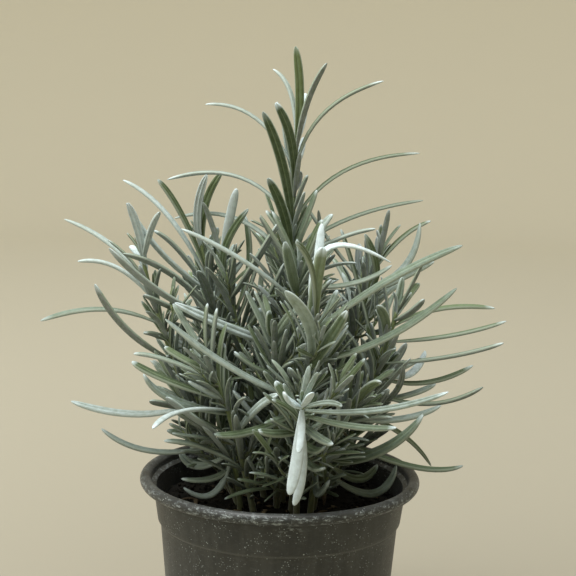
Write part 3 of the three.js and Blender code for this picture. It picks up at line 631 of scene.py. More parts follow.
def grow_detail():
    for shoot in SHOOTS:
        grow_bud(shoot, shoot["stem"], SHOOT_BUD)
        grow_twigs(shoot)
    for shoot in SHOOTS:
        grow_filling(shoot, shoot["stem"], lowest_place(shoot["stem"]), FILLING)
        for twig in shoot["twigs"]:
            grow_bud(shoot, twig, TWIG_BUD)
            grow_filling(shoot, twig, TWIG_FOOT, TWIG_LEAVES)
    for shoot in SHOOTS:
        grow_tufts(shoot)


# ---------------------------------------------------------------- meshes

TAGS = ("across", "along", "under", "tone", "young", "felt", "tip")


class Shape:
    """Points in millimetres and faces, with the numbers at each point that the materials read."""

    def __init__(self):
        self.points = []
        self.faces = []
        self.slots = []
        self.tags = {tag: [] for tag in TAGS}
        self.count = 0

    def add(self, points, faces, slot=0, **tags):
        self.points.append(points)
        self.faces.extend([tuple(i + self.count for i in face) for face in faces])
        self.slots.extend([slot] * len(faces))
        for tag in TAGS:
            self.tags[tag].append(np.broadcast_to(tags.get(tag, 0.0), (len(points),)))
        self.count += len(points)

    def make(self, name, materials):
        """The shape as a smooth Blender object in metres."""
        mesh = bpy.data.meshes.new(name)
        mesh.from_pydata((np.vstack(self.points) * MM).tolist(), [], self.faces)
        for tag in TAGS:
            layer = mesh.attributes.new(tag, "FLOAT", "POINT")
            layer.data.foreach_set("value", np.concatenate(self.tags[tag]).astype(np.float32))
        for material in materials:
            mesh.materials.append(material)
        mesh.polygons.foreach_set("material_index", self.slots)
        mesh.polygons.foreach_set("use_smooth", [True] * len(mesh.polygons))
        mesh.update()
        piece = bpy.data.objects.new(name, mesh)
        bpy.context.scene.collection.objects.link(piece)
        return piece


def stand_for(piece, node):
    """The piece takes the place of a node of the plant's one body."""
    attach(piece, "root")
    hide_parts(node)


def tube_faces(rings, count, tip):
    """Faces of a closed tube of rings, which ends in one tip point or in a flat last ring."""
    faces = []
    for i in range(rings - 1):
        for j in range(count):
            a = i * count + j
            b = i * count + (j + 1) % count
            faces.append((a, b, b + count, a + count))
    faces.append(tuple(range(count))[::-1])
    last = (rings - 1) * count
    if tip:
        faces.extend((last + j, last + (j + 1) % count, last + count) for j in range(count))
    else:
        faces.append(tuple(range(last, last + count)))
    return faces


def ring_angles(sides):
    return 2 * math.pi * np.arange(sides) / sides


def across_and_up(middle, side, top, wide, high):
    """Rings of points round a line of middles, each that far to the side and to the top."""
    return middle[:, None, :] + side[:, None, :] * wide[..., None] + top[:, None, :] * high[..., None]


# Half of a blade's section from its midrib to its margin, as shares of half its width and of its
# thickness: a groove over the midrib, a swell beside it and a margin that rolls down and under.
UPPER_HALF = [(0.0, 0.2), (0.1, 0.28), (0.28, 0.42), (0.55, 0.46), (0.8, 0.36), (0.95, 0.12)]
LOWER_HALF = [(1.0, -0.12), (0.93, -0.36), (0.8, -0.42), (0.64, -0.22), (0.3, -0.2), (0.12, -0.42)]
PLAIN_HALF = [(0.0, 0.24), (0.4, 0.42), (0.85, 0.25)]
PLAIN_LOWER = [(1.0, -0.1), (0.75, -0.36), (0.3, -0.26)]
FELTED_HALF = [(0.0, 0.34), (0.3, 0.4), (0.65, 0.33), (0.9, 0.14)]
FELTED_LOWER = [(1.0, -0.06), (0.9, -0.26), (0.65, -0.4), (0.3, -0.5)]
KEEL = (0.0, -0.52)


def section(upper, lower):
    """A whole blade section from two halves, anticlockwise as seen from the leaf's tip."""
    right = upper[1:] + lower
    left = [(-x, z) for x, z in right]
    return np.array([upper[0], *left, KEEL, *right[::-1]])


FINE = section(UPPER_HALF, LOWER_HALF)
PLAIN = section(PLAIN_HALF, PLAIN_LOWER)
FELTED = section(FELTED_HALF, FELTED_LOWER)
SMOOTH_FELT = 0.75  # above this the felt hides the midrib and the grooves

FOOT_WIDTH = 0.36
WIDEST = 0.45  # how far out a blade reaches its full width
BLUNTNESS = 4.2
THICKEST = 0.5  # share of its width that a narrow leaf's thickness takes
FOOT_THICKNESS = 0.5
THICKEST_AT = 0.3
TWIST = 0.3  # the most that a blade turns about itself, in radians
UNDERSIDE = -0.15  # height in a section below which its points have the underside's look


def past_widest(t):
    return np.clip((t - WIDEST) / (1 - WIDEST), 0, 1)


def blade_width(t, blunt=BLUNTNESS):
    """Width along a leaf: a narrow foot, the widest part past the middle and a blunt round tip."""
    rise = FOOT_WIDTH + (1 - FOOT_WIDTH) * np.sin(0.5 * math.pi * np.clip(t / WIDEST, 0, 1)) ** 0.9
    return rise * np.sqrt(np.clip(1 - past_widest(t) ** blunt, 0, 1))


def add_leaf(shape, leaf, ring, steps, look, slot=0):
    t = np.sin(0.5 * math.pi * np.arange(steps) / steps)
    along = direction(leaf["curve"], t)
    across = leaf_across(leaf, t)
    up = np.cross(along, across)
    twist = (detail.uniform(-TWIST, TWIST) * t**1.5)[:, None]
    side = across * np.cos(twist) + up * np.sin(twist)
    top = up * np.cos(twist) - across * np.sin(twist)
    blunt = look.get("blunt", BLUNTNESS)
    full = leaf["width"] * look.get("slim", 1)
    wide = 0.5 * full * blade_width(t, blunt)
    thick = min(LEAF_THICK, THICKEST * full) * np.interp(t, [0, THICKEST_AT], [FOOT_THICKNESS, 1])
    thick = thick * np.sqrt(1 - past_widest(t) ** (blunt + 2))
    wide = wide[:, None] * ring[None, :, 0]
    high = thick[:, None] * ring[None, :, 1]
    points = across_and_up(point_at(leaf["curve"], t), side, top, wide, high).reshape(-1, 3)
    under = np.where(ring[:, 1] < UNDERSIDE, 1.0, 0.0)
    shape.add(
        np.vstack([points, point_at(leaf["curve"], 1.0)]),
        tube_faces(steps, len(ring), tip=True),
        slot=slot,
        across=np.append(np.tile(np.abs(ring[:, 0]), steps), 0.5),
        along=np.append(np.repeat(t, len(ring)), 1.0),
        under=np.append(np.tile(under, steps), 0.5),
        **look,
    )


HAIRS = 46
HAIR_LENGTH = (0.25, 0.5)
HAIR_WIDE = 0.045
HAIR_ROOT = 0.46  # distance from the midrib, as a share of the leaf's width
HAIR_FACES = [(0, 2, 1), (0, 1, 3), (1, 2, 3), (2, 0, 3)]


def add_hairs(shape, leaf, look):
    """Short felt hairs, each a slim closed spike, along both margins of a leaf and round its tip."""
    half = HAIR_ROOT * leaf["width"] * look.get("slim", 1)
    for _ in range(HAIRS):
        t = 1 - detail.random() ** 1.6 * 0.9
        side = detail.choice((-1, 1))
        along = direction(leaf["curve"], t)
        across = leaf_across(leaf, t)
        up = np.cross(along, across)
        root = point_at(leaf["curve"], t) + across * side * half * float(blade_width(t))
        lean = unit(across * side + along * detail.uniform(0.1, 0.9) + up * detail.uniform(-0.7, 0.7))
        tip = root + lean * detail.uniform(*HAIR_LENGTH)
        base = [root + along * HAIR_WIDE, root - along * HAIR_WIDE, root + up * HAIR_WIDE]
        shape.add(np.array([*base, tip]), HAIR_FACES, across=1.0, along=t, felt=1.0, tone=look["tone"])


STEM_SIDES = 12
STEM_RINGS = 60
STEM_SQUARE = 0.06
NODE_SWELL = 0.1
NODE_LENGTH = 0.012  # of the swelling, as a share of the stem
TWIG_RADIUS = (0.65, 0.4)
TWIG_RINGS = 8


def add_stem(shape, stem, foot_radius, tip_radius, places, rings):
    """A slightly square stem, swollen at the places where leaves grow from it."""
    t = np.arange(rings) / (rings - 1)
    radius = foot_radius + (tip_radius - foot_radius) * t
    for place in places:
        radius = radius * (1 + NODE_SWELL * np.exp(-(((t - place) / NODE_LENGTH) ** 2)))
    angle = ring_angles(STEM_SIDES)
    square = 1 + STEM_SQUARE * np.cos(4 * angle)
    along = direction(stem, t)
    right = unit(np.cross(np.array([0.0, 1.0, 0.0]), along))
    wide = radius[:, None] * (square * np.cos(angle))[None, :]
    high = radius[:, None] * (square * np.sin(angle))[None, :]
    points = across_and_up(point_at(stem, t), right, np.cross(along, right), wide, high)
    shape.add(
        points.reshape(-1, 3), tube_faces(rings, STEM_SIDES, tip=False), slot=1,
        along=np.repeat(t, STEM_SIDES), tone=detail.random(),
    )


FINE_STEPS = 18
SMALL_STEPS = 8


def make_shoot(shoot, materials):
    shape = Shape()
    places = [leaf["place"] for leaf in shoot["grown"]]
    add_stem(shape, shoot["stem"], STEM_FOOT_RADIUS, STEM_TIP_RADIUS, places, STEM_RINGS)
    for twig in shoot["twigs"]:
        add_stem(shape, twig, *TWIG_RADIUS, [], TWIG_RINGS)
    for leaf in shoot["grown"]:
        look = {
            "tone": detail.random(),
            "young": max(0.0, (leaf["place"] - 0.8) / 0.2) * detail.uniform(0.0, 0.5),
            "felt": 0.7 * detail.random() ** 3,
            "tip": detail.random(),
        }
        look.update(leaf["look"])
        add_leaf(shape, leaf, FELTED if look["felt"] > SMOOTH_FELT else FINE, FINE_STEPS, look)
        add_hairs(shape, leaf, look)
    for leaf in shoot["small"]:
        look = {
            "tone": 0.85 * detail.random(),
            "young": 0.7 * leaf["place"] ** 2 * detail.random(),
            "felt": 0.5 * detail.random() ** 3,
            "tip": 0.7 * detail.random() ** 2,
        }
        add_leaf(shape, leaf, PLAIN, SMALL_STEPS, look)
    stand_for(shape.make(shoot["name"] + "_foliage", materials), shoot["name"])


# ---------------------------------------------------------------- pot

POT_SIDES = 144
LIP_STEPS = 40
DRAIN_SIDES = 24
SHARP_EDGE = 38  # degrees


def arc_points(centre, radius, start, end, steps):
    """Points (radius, height) on an arc between two angles in degrees."""
    angles = np.radians(np.linspace(start, end, steps))
    return [(centre[0] + radius * math.cos(a), centre[1] + radius * math.sin(a)) for a in angles]


def slope(start, end, steps):
    """Points on a straight line, without its end, so that no face gets too long."""
    start, end = np.array(start, float), np.array(end, float)
    return [tuple(start + (end - start) * i / steps) for i in range(steps)]


def inside_radius(up):
    """Inside radius of the pot at a height between its floor and the foot of the rolled rim."""
    if up < COLLAR_FOOT:
        return BASE_RADIUS + (BODY_TOP_RADIUS - BASE_RADIUS) * (up / COLLAR_FOOT) - WALL
    share = (up - COLLAR_FOOT) / (COLLAR_HEIGHT - 2 * LIP_RADIUS)
    return COLLAR_FOOT_RADIUS + (COLLAR_TOP_RADIUS - COLLAR_FOOT_RADIUS) * share - WALL


def pot_profile():
    """Radius and height from the middle of the underside out, up, over the rolled rim and back in."""
    lip_centre = (RIM_RADIUS - LIP_RADIUS, POT_HEIGHT - LIP_RADIUS)
    inner_lip = (COLLAR_TOP_RADIUS - WALL, LIP_FOOT)
    corner = (BASE_RADIUS - BASE_CORNER, BASE_CORNER)
    return [
        *slope((0, 0), (corner[0], 0), 6),
        *arc_points(corner, BASE_CORNER, -90, -8, 6),
        *slope((BASE_RADIUS + 0.05, BASE_CORNER + 0.6), (BODY_TOP_RADIUS, COLLAR_FOOT - 0.8), 16),
        (BODY_TOP_RADIUS, COLLAR_FOOT - 0.8),
        (BODY_TOP_RADIUS + 0.2, COLLAR_FOOT - 0.5),
        (COLLAR_FOOT_RADIUS - 0.2, COLLAR_FOOT + 0.3),
        *slope((COLLAR_FOOT_RADIUS, COLLAR_FOOT + 0.6), (COLLAR_TOP_RADIUS, LIP_FOOT - 0.3), 8),
        (COLLAR_TOP_RADIUS + 0.15, LIP_FOOT - 0.1),
        *arc_points(lip_centre, LIP_RADIUS, -128, 180, LIP_STEPS),
        *slope((RIM_RADIUS - 2 * LIP_RADIUS - 0.3, LIP_FOOT + 1.2), inner_lip, 3),
        *slope(inner_lip, (COLLAR_FOOT_RADIUS - WALL, COLLAR_FOOT), 6),
        *slope((BODY_TOP_RADIUS - WALL, COLLAR_FOOT - 1.2), (inside_radius(FLOOR), FLOOR), 12),
        *slope((inside_radius(FLOOR), FLOOR), (0, FLOOR), 6),
        (0, FLOOR),
    ]


def lathe(shape, profile, sides):
    """A closed shape turned round the upright axis from a profile that starts and ends on it."""
    body = np.array(profile[1:-1])
    count = len(body)
    angle = ring_angles(sides)
    across, deep = np.outer(np.cos(angle), body[:, 0]), np.outer(np.sin(angle), body[:, 0])
    ring = np.stack([across, deep, np.tile(body[:, 1], (sides, 1))], axis=-1).reshape(-1, 3)
    points = np.vstack([ring, [0, 0, profile[0][1]], [0, 0, profile[-1][1]]])
    first, last = len(ring), len(ring) + 1
    faces = []
    for i in range(sides):
        a, b = i * count, ((i + 1) % sides) * count
        faces.extend((a + k, b + k, b + k + 1, a + k + 1) for k in range(count - 1))
        faces.append((first, b, a))
        faces.append((last, a + count - 1, b + count - 1))
    shape.add(points, faces)


def cut_drains(piece):
    """Cuts the round drain holes through the pot's floor."""
    cutter = Shape()
    angle = ring_angles(DRAIN_SIDES)
    ring = np.stack([np.cos(angle), np.sin(angle), 0 * angle], axis=-1) * DRAIN_RADIUS
    for i in range(DRAIN_HOLES):
        around = 2 * math.pi * (i + 0.5) / DRAIN_HOLES
        centre = DRAIN_CIRCLE * np.array([math.cos(around), math.sin(around), 0])
        ends = [centre + ring + [0, 0, -2], centre + ring + [0, 0, FLOOR + 2]]
        cutter.add(np.vstack(ends), tube_faces(2, DRAIN_SIDES, False))
    tool = cutter.make("drain_cutter", [])
    modifier = piece.modifiers.new("drains", "BOOLEAN")
    modifier.operation = "DIFFERENCE"
    modifier.solver = "EXACT"
    modifier.object = tool
    bpy.context.view_layer.update()
    cut = bpy.data.meshes.new_from_object(piece.evaluated_get(bpy.context.evaluated_depsgraph_get()))
    piece.modifiers.clear()
    piece.data = cut
    bpy.data.objects.remove(tool)


def make_pot(material):
    shape = Shape()
    lathe(shape, pot_profile(), POT_SIDES)
    piece = shape.make("pot_body", [material])
    cut_drains(piece)
    piece.data.set_sharp_from_angle(angle=math.radians(SHARP_EDGE))
    stand_for(piece, "pot")


# ---------------------------------------------------------------- soil

SOIL_RINGS = 60
SOIL_SIDES = 160
SOIL_SHELF = 3  # how far from the wall the soil begins to fall away
SOIL_GRAIN = 4.5
SOIL_ROUGH = 0.7
CRUMBS = 1500
CRUMB_FLAT = (0.8, 0.7)  # breadth and height of a lump, to its length
BARK_BITS = 60
BARK_SIZE = (1.2, 2.8)
BARK_FLAT = (0.35, 0.22)
WALL_MARGIN = 1.5  # between a lump and the wall
LUMP_SIDES = 6
DRY_LEAVES = 12
DRY_LENGTH = (7, 12)
DRY_RISE = (1.0, 2.2)  # height of the middle of a dry leaf
DRY_WIDTH = 1.8
DRY_MARGIN = 14  # between its root and the wall


def soil_height(x, y):
    """Height of the soil's surface: the waves of its solid, with a finer roughness."""
    waves = math.sin(x / LONG_WAVE) * math.cos(y / LONG_WAVE)
    waves += SHORT_WAVE_SHARE * math.sin((y - x) / SHORT_WAVE)
    rough = noise.fractal(Vector((x, y, 0)) / SOIL_GRAIN, 0.7, 2.1, 4)
    return SOIL_TOP + SOIL_UNEVEN * waves + SOIL_ROUGH * rough


def soil_body(shape):
    """The potting soil down to the floor, with an uneven top."""
    rim = inside_radius(SOIL_TOP) - GAP
    under = [
        (0, FLOOR + GAP),
        (inside_radius(FLOOR) - GAP, FLOOR + GAP),
        (BODY_TOP_RADIUS - WALL - GAP, COLLAR_FOOT - STEP_SLOPE),
        (rim, SOIL_TOP - 2 * SOIL_SHOULDER),
    ]
    top = [(rim * (1 - i / SOIL_RINGS), SOIL_TOP) for i in range(SOIL_RINGS + 1)]
    lathe(shape, under + top, SOIL_SIDES)
    for point in shape.points[-1]:
        if point[2] > SOIL_TOP - SOIL_SHOULDER / 2:
            fall = np.clip(1 - (rim - math.hypot(point[0], point[1])) / SOIL_SHELF, 0, 1)
            point[2] = soil_height(point[0], point[1]) - SOIL_SHOULDER * fall


def lump(shape, centre, size, flat, slot=0):
    """A small closed irregular lump, turned at random."""
    tone = detail.random()
    turn = Matrix.Rotation(detail.uniform(0, 2 * math.pi), 3, "Z")
    tilt = Matrix.Rotation(detail.uniform(-0.5, 0.5), 3, "X")
    points = []
    for up, round_share in ((-0.75, 0.6), (0.0, 1.0), (0.7, 0.65)):
        for k in range(LUMP_SIDES):
            angle = 2 * math.pi * (k + 0.5 * up) / LUMP_SIDES
            reach = round_share * detail.uniform(0.75, 1.2)
            points.append(Vector((reach * math.cos(angle), reach * math.sin(angle) * flat[0], up * flat[1])))
    points.append(Vector((0, 0, detail.uniform(0.9, 1.1) * flat[1])))
    placed = [np.array(turn @ tilt @ (point * size)) + centre for point in points]
    shape.add(np.array(placed), tube_faces(3, LUMP_SIDES, tip=True), slot=slot, tone=tone)


def soil_place(margin):
    """A random place on the soil, at least that far from the wall."""
    radius = (inside_radius(SOIL_TOP) - margin) * math.sqrt(detail.random())
    angle = detail.uniform(0, 2 * math.pi)
    x, y = radius * math.cos(angle), radius * math.sin(angle)
    return np.array([x, y, soil_height(x, y)])


def dry_leaf(shape):
    """A small curled dead leaf that lies on the soil."""
    root = soil_place(DRY_MARGIN)
    angle = detail.uniform(0, 2 * math.pi)
    reach = np.array([math.cos(angle), math.sin(angle), 0.0]) * detail.uniform(*DRY_LENGTH)
    middle = root + 0.5 * reach + np.array([0, 0, detail.uniform(*DRY_RISE)])
    tip = root + reach
    tip[2] = soil_height(tip[0], tip[1]) + 0.6
    across = unit(np.cross([0.0, 0, 1], reach))
    leaf = {"curve": arc(root, middle, tip), "across": across, "width": DRY_WIDTH}
    add_leaf(shape, leaf, PLAIN, SMALL_STEPS, {"tone": detail.random()}, slot=1)


def make_soil(material, litter):
    shape = Shape()
    soil_body(shape)
    for _ in range(CRUMBS):
        size = 0.35 + 1.1 * detail.random() ** 3
        lump(shape, soil_place(WALL_MARGIN + size) + [0, 0, 0.3 * size], size, CRUMB_FLAT)
    for _ in range(BARK_BITS):
        size = detail.uniform(*BARK_SIZE)
        lump(shape, soil_place(WALL_MARGIN + size) + [0, 0, 0.3], size, BARK_FLAT, slot=1)
    for _ in range(DRY_LEAVES):
        dry_leaf(shape)
    stand_for(shape.make("soil_surface", [material, litter]), "soil")


# ---------------------------------------------------------------- materials


class Paint:
    """A material and the nodes that feed its shader, whose uniform values are set on its sockets."""

    def __init__(self, name, uniform):
        self.material = bpy.data.materials.new(name)
        self.material.use_nodes = True
        self.tree = self.material.node_tree
        self.shader = self.tree.nodes["Principled BSDF"]
        for socket, value in uniform.items():
            self.shader.inputs[socket].default_value = value

    def node(self, kind, inputs, **settings):
        """The outputs of a new node, whose inputs are plain values or other nodes' outputs."""
        made = self.tree.nodes.new("ShaderNode" + kind)
        for name, value in settings.items():
            setattr(made, name, value)
        for key, value in inputs.items():
            if isinstance(value, bpy.types.NodeSocket):
                self.tree.links.new(value, made.inputs[key])
            else:
                made.inputs[key].default_value = value
        return made.outputs

    def tag(self, name):
        return self.node("Attribute", {}, attribute_name=name)["Fac"]

    def maths(self, operation, a, b=0.0):
        return self.node("Math", {0: a, 1: b}, operation=operation)[0]

    def times(self, a, b):
        return self.maths("MULTIPLY", a, b)

    def most(self, a, b):
        return self.maths("MAXIMUM", a, b)

    def spread(self, value, low, high, to_low=0.0, to_high=1.0):
        """The value's stretch from low to high, spread over the two new limits and held at them."""
        inputs = {"Value": value, "From Min": low, "From Max": high, "To Min": to_low, "To Max": to_high}
        return self.node("MapRange", inputs, clamp=True)["Result"]

    def mix(self, share, a, b):
        """One colour into another; a plain colour is given as red, green and blue."""
        a, b = ((*colour, 1.0) if isinstance(colour, tuple) else colour for colour in (a, b))
        return self.node("Mix", {0: share, 6: a, 7: b}, data_type="RGBA")[2]

    def place(self, stretch=(1, 1, 1)):
        """Where a point is on the object, in metres, stretched along the three axes."""
        where = self.node("TexCoord", {})["Object"]
        return self.node("VectorMath", {0: where, 1: stretch}, operation="MULTIPLY")[0]

    def up(self):
        return self.node("SeparateXYZ", {0: self.place()})["Z"]

    def away(self, stretch=(1, 1, 0)):
        """How far a point is from the upright axis, or with another stretch from the origin."""
        return self.node("VectorMath", {0: self.place(stretch)}, operation="LENGTH")["Value"]

    def grain(self, scale, depth=3.0, rough=0.55, where=None):
        inputs = {"Vector": where or self.place(), "Scale": scale, "Detail": depth, "Roughness": rough}
        return self.node("TexNoise", inputs)["Fac"]

    def finish(self, skin, roughness, height, deep, strength=1.0):
        """The material, with its colour, its roughness and a bump whose depth is in metres."""
        bump = self.node("Bump", {"Height": height, "Distance": deep, "Strength": strength})
        for socket, source in (("Base Color", skin), ("Roughness", roughness), ("Normal", bump["Normal"])):
            self.tree.links.new(source, self.shader.inputs[socket])
        return self.material


LEAF_DARK = (0.042, 0.066, 0.024)
LEAF_SAGE = (0.102, 0.148, 0.08)
LEAF_YOUNG = (0.2, 0.25, 0.085)
LEAF_RIB = (0.17, 0.226, 0.118)
LEAF_FELT = (0.335, 0.395, 0.315)
LEAF_UNDER = (0.3, 0.33, 0.345)
LEAF_WHITE = (0.64, 0.75, 0.78)
# painted shade: the deep green that the low leaves and those in the plant's core are darkened toward
PAINTED_SHADE_GREEN = (0.032, 0.049, 0.026)
LOW_SHADE = (0.095, 0.14)  # heights between which the painted shade on the low leaves near the soil fades out
CORE_SHADE = (0.018, 0.042)  # distances from the upright axis between which the painted shade of the plant's core fades out
CORE_SHADE_TOP = (0.15, 0.19)  # and the heights between which it ends


def streaks(p, tone):
    """Fine lines that run along a blade, in a place of their own on each leaf."""
    inputs = {
        "X": p.times(p.tag("across"), 7.0), "Y": p.times(p.tag("along"), 2.5), "Z": p.times(tone, 90.0)
    }
    return p.grain(1.6, 2.0, where=p.node("CombineXYZ", inputs)[0])


def upper_face(p, across, along, tone, young, lines, mottle):
    """A pale midrib between two darker bands, and pale felted margins; greener at the foot."""
    top = p.mix(tone, LEAF_DARK, LEAF_SAGE)
    foot = p.times(p.spread(along, 0.4, 0.0, 0, 0.5), p.spread(tone, 0, 1, 0.2, 1))
    top = p.mix(p.most(foot, p.spread(young, 0, 1, 0, 0.8)), top, LEAF_YOUNG)
    top = p.mix(p.spread(lines, 0.5, 0.75, 0, 0.3), top, LEAF_RIB)
    top = p.mix(p.spread(across, 0.2, 0.05, 0, 0.7), top, LEAF_RIB)
    top = p.mix(p.spread(mottle, 0.4, 0.75, 0, 0.16), top, LEAF_FELT)
    return p.mix(p.spread(across, 0.76, 0.93, 0, 0.85), top, LEAF_FELT)


def painted_shade_share(p):
    """How much painted shade darkens the leaves near the soil and in the plant's core."""
    up = p.up()
    core = p.times(p.spread(p.away(), *CORE_SHADE, 0.4, 0), p.spread(up, *CORE_SHADE_TOP, 1, 0))
    return p.most(core, p.spread(up, *LOW_SHADE, 0.6, 0))


def leaf_material():
    p = Paint("lavender_leaf", {
        "Specular IOR Level": 0.25, "Sheen Weight": 0.1, "Sheen Roughness": 0.4,
        "Sheen Tint": (0.8, 0.9, 0.85, 1.0),
    })
    across, along, under, tone, young, felt, tip = (p.tag(name) for name in TAGS)
    lines = streaks(p, tone)
    mottle = p.grain(420.0, 4.0)
    fuzz = p.grain(2600.0, 2.0, 0.7)

    below = p.mix(p.spread(mottle, 0.3, 0.7, 0, 0.6), LEAF_UNDER, LEAF_SAGE)
    below = p.mix(p.spread(across, 0.16, 0.04, 0, 0.5), below, LEAF_RIB)
    skin = p.mix(under, upper_face(p, across, along, tone, young, lines, mottle), below)
    skin = p.mix(p.times(felt, p.spread(mottle, 0.25, 0.6, 0.55, 1)), skin, LEAF_WHITE)
    end = p.times(p.spread(along, 0.9, 0.98), p.spread(tip, 0, 1, 0.12, 1))
    skin = p.mix(end, skin, LEAF_WHITE)
    skin = p.mix(p.spread(fuzz, 0.55, 0.8, 0, 0.22), skin, LEAF_FELT)
    # painted shade: leaves low down and in the plant's core are darkened toward a deep green, the felted
    # ones less
    skin = p.mix(p.times(painted_shade_share(p), p.spread(felt, 0.6, 1, 1, 0)), skin, PAINTED_SHADE_GREEN)
    height = p.maths("ADD", p.times(lines, 0.6), p.times(fuzz, 0.5))
    return p.finish(skin, p.spread(mottle, 0.3, 0.7, 0.62, 0.86), height, 0.00022, 0.8)


STEM_GREEN = (0.165, 0.21, 0.085)
STEM_BROWN = (0.07, 0.07, 0.036)


def stem_material():
    p = Paint("lavender_stem", {"Specular IOR Level": 0.3, "Sheen Weight": 0.3, "Sheen Roughness": 0.5})
    fibres = p.grain(1800.0, where=p.place((1, 1, 0.12)))
    mottle = p.grain(300.0)
    skin = p.mix(p.spread(p.tag("along"), 0.12, 0.6), STEM_BROWN, STEM_GREEN)
    skin = p.mix(p.spread(fibres, 0.45, 0.7, 0, 0.5), skin, LEAF_RIB)
    skin = p.mix(p.spread(mottle, 0.5, 0.75, 0, 0.4), skin, STEM_BROWN)
    return p.finish(skin, p.spread(mottle, 0.3, 0.7, 0.5, 0.8), fibres, 0.0002, 0.8)


POT_PLASTIC = (0.017, 0.02, 0.019)
POT_BROWN = (0.029, 0.031, 0.028)
# the colour of the dusty streaks, and of the painted highlight along the step
POT_DUST_AND_HIGHLIGHT = (0.08, 0.086, 0.08)
POT_CHALK = (0.5, 0.57, 0.58)
ROLL_FOOT = (POT_HEIGHT - 2.1 * LIP_RADIUS) * MM
ROLL_MIDDLE = (POT_HEIGHT - LIP_RADIUS) * MM
ROLL_UNDER = (POT_HEIGHT - 1.7 * LIP_RADIUS) * MM
STEP_EDGE = COLLAR_FOOT * MM
SPLASHED = (0.03, 0.08)  # heights between which the specks reach their full strength
CHALK_PATCH = (0.004, -0.0555, 0.0885)  # the middle of a chalky patch below the rim's front


def specks(p, scale, size, thin):
    """Small round specks, left out where a slow noise is low."""
    inputs = {"Vector": p.place(), "Scale": scale, "Randomness": 1.0}
    spots = p.spread(p.node("TexVoronoi", inputs, feature="F1")["Distance"], size, size * 0.5)
    return p.times(spots, p.spread(p.grain(scale * 0.16), thin, thin + 0.12))


def chalk_share(p, up):
    """How worn the pot is: on the outside and the underside of its roll, and on one patch."""
    roll = p.spread(up, ROLL_FOOT - 0.0008, ROLL_FOOT + 0.0006)
    outer = p.spread(p.away(), (RIM_RADIUS - 1.2) * MM, (RIM_RADIUS - 0.4) * MM)
    outer = p.most(outer, p.spread(up, ROLL_MIDDLE, ROLL_UNDER))
    patch = p.node("VectorMath", {0: p.place(), 1: CHALK_PATCH}, operation="DISTANCE")["Value"]
    return p.most(p.times(roll, p.spread(outer, 0, 1, 0.15, 0.75)), p.spread(patch, 0.001, 0.007, 1, 0))


def pot_material():
    """Dull dark plastic with dusty streaks, chalk scuffed onto the rolled rim, splashed specks, and a
    painted highlight along the step.
    """
    p = Paint("nursery_pot_plastic", {
        "Specular IOR Level": 0.4, "Sheen Weight": 0.07, "Sheen Roughness": 0.6,
    })
    up = p.up()
    streak = p.grain(240.0, 4.0, 0.6, p.place((1, 1, 0.08)))
    fine = p.grain(1100.0, 6.0, 0.75)
    smear = p.grain(330.0, 6.0, 0.72, p.place((1, 1, 2.6)))
    skin = p.mix(p.spread(p.grain(28.0, 4.0), 0.35, 0.65), POT_PLASTIC, POT_BROWN)
    skin = p.mix(p.spread(streak, 0.45, 0.8, 0, 0.45), skin, POT_DUST_AND_HIGHLIGHT)
    # painted highlight: a pale, broken line in the dust colour along the step at the collar's foot
    off_step = p.maths("ABSOLUTE", p.maths("SUBTRACT", up, STEP_EDGE))
    step_highlight = p.times(p.spread(off_step, 0.0003, 0.0009, 1, 0), p.spread(fine, 0.35, 0.6, 0.2, 0.9))
    skin = p.mix(step_highlight, skin, POT_DUST_AND_HIGHLIGHT)
    scuff = p.times(p.spread(smear, 0.52, 0.62), p.spread(fine, 0.4, 0.58, 0.2, 1))
    skin = p.mix(p.times(scuff, p.spread(chalk_share(p, up), 0, 1, 0.04, 0.8)), skin, POT_CHALK)
    dots = p.most(specks(p, 520.0, 0.16, 0.52), specks(p, 980.0, 0.22, 0.49))
    dots = p.times(dots, p.spread(up, *SPLASHED, 0.35, 1))
    skin = p.mix(dots, skin, POT_CHALK)
    return p.finish(skin, p.spread(fine, 0.3, 0.75, 0.36, 0.62), p.maths("ADD", fine, dots), 0.00012, 0.6)


SOIL_BLACK = (0.005, 0.0055, 0.0045)
SOIL_BROWN = (0.017, 0.014, 0.01)


def soil_material():
    p = Paint("potting_soil", {"Specular IOR Level": 0.15})
    fine = p.grain(1400.0, 5.0, 0.7)
    skin = p.mix(p.spread(fine, 0.35, 0.7), SOIL_BLACK, SOIL_BROWN)
    skin = p.mix(p.times(p.tag("tone"), 0.5), skin, SOIL_BROWN)
    return p.finish(skin, p.spread(fine, 0.3, 0.7, 0.8, 1.0), fine, 0.0006)


LITTER_DARK = (0.04, 0.028, 0.016)
LITTER_PALE = (0.14, 0.11, 0.065)


def litter_material():
    p = Paint("soil_litter", {"Specular IOR Level": 0.2})
    fine = p.grain(1100.0, 4.0, 0.6)
    skin = p.mix(p.tag("tone"), LITTER_DARK, LITTER_PALE)
    skin = p.mix(p.spread(fine, 0.45, 0.7, 0, 0.6), skin, LITTER_DARK)
    return p.finish(skin, p.spread(fine, 0.3, 0.7, 0.7, 0.95), fine, 0.0004)


# ---------------------------------------------------------------- stage, light and camera

# painted shade: the floor's colour at its middle, darker than the wall's, to even out the stronger top light
# there
STAGE_FLOOR_SHADED = (0.275, 0.255, 0.2)
STAGE_WALL_PALE = (0.635, 0.595, 0.47)
STAGE_FLOOR = 1500  # radius of the flat floor before it sweeps up to the wall
STAGE_SWEEP = 500
STAGE_WALL = 2200
STAGE_SIDES = 96


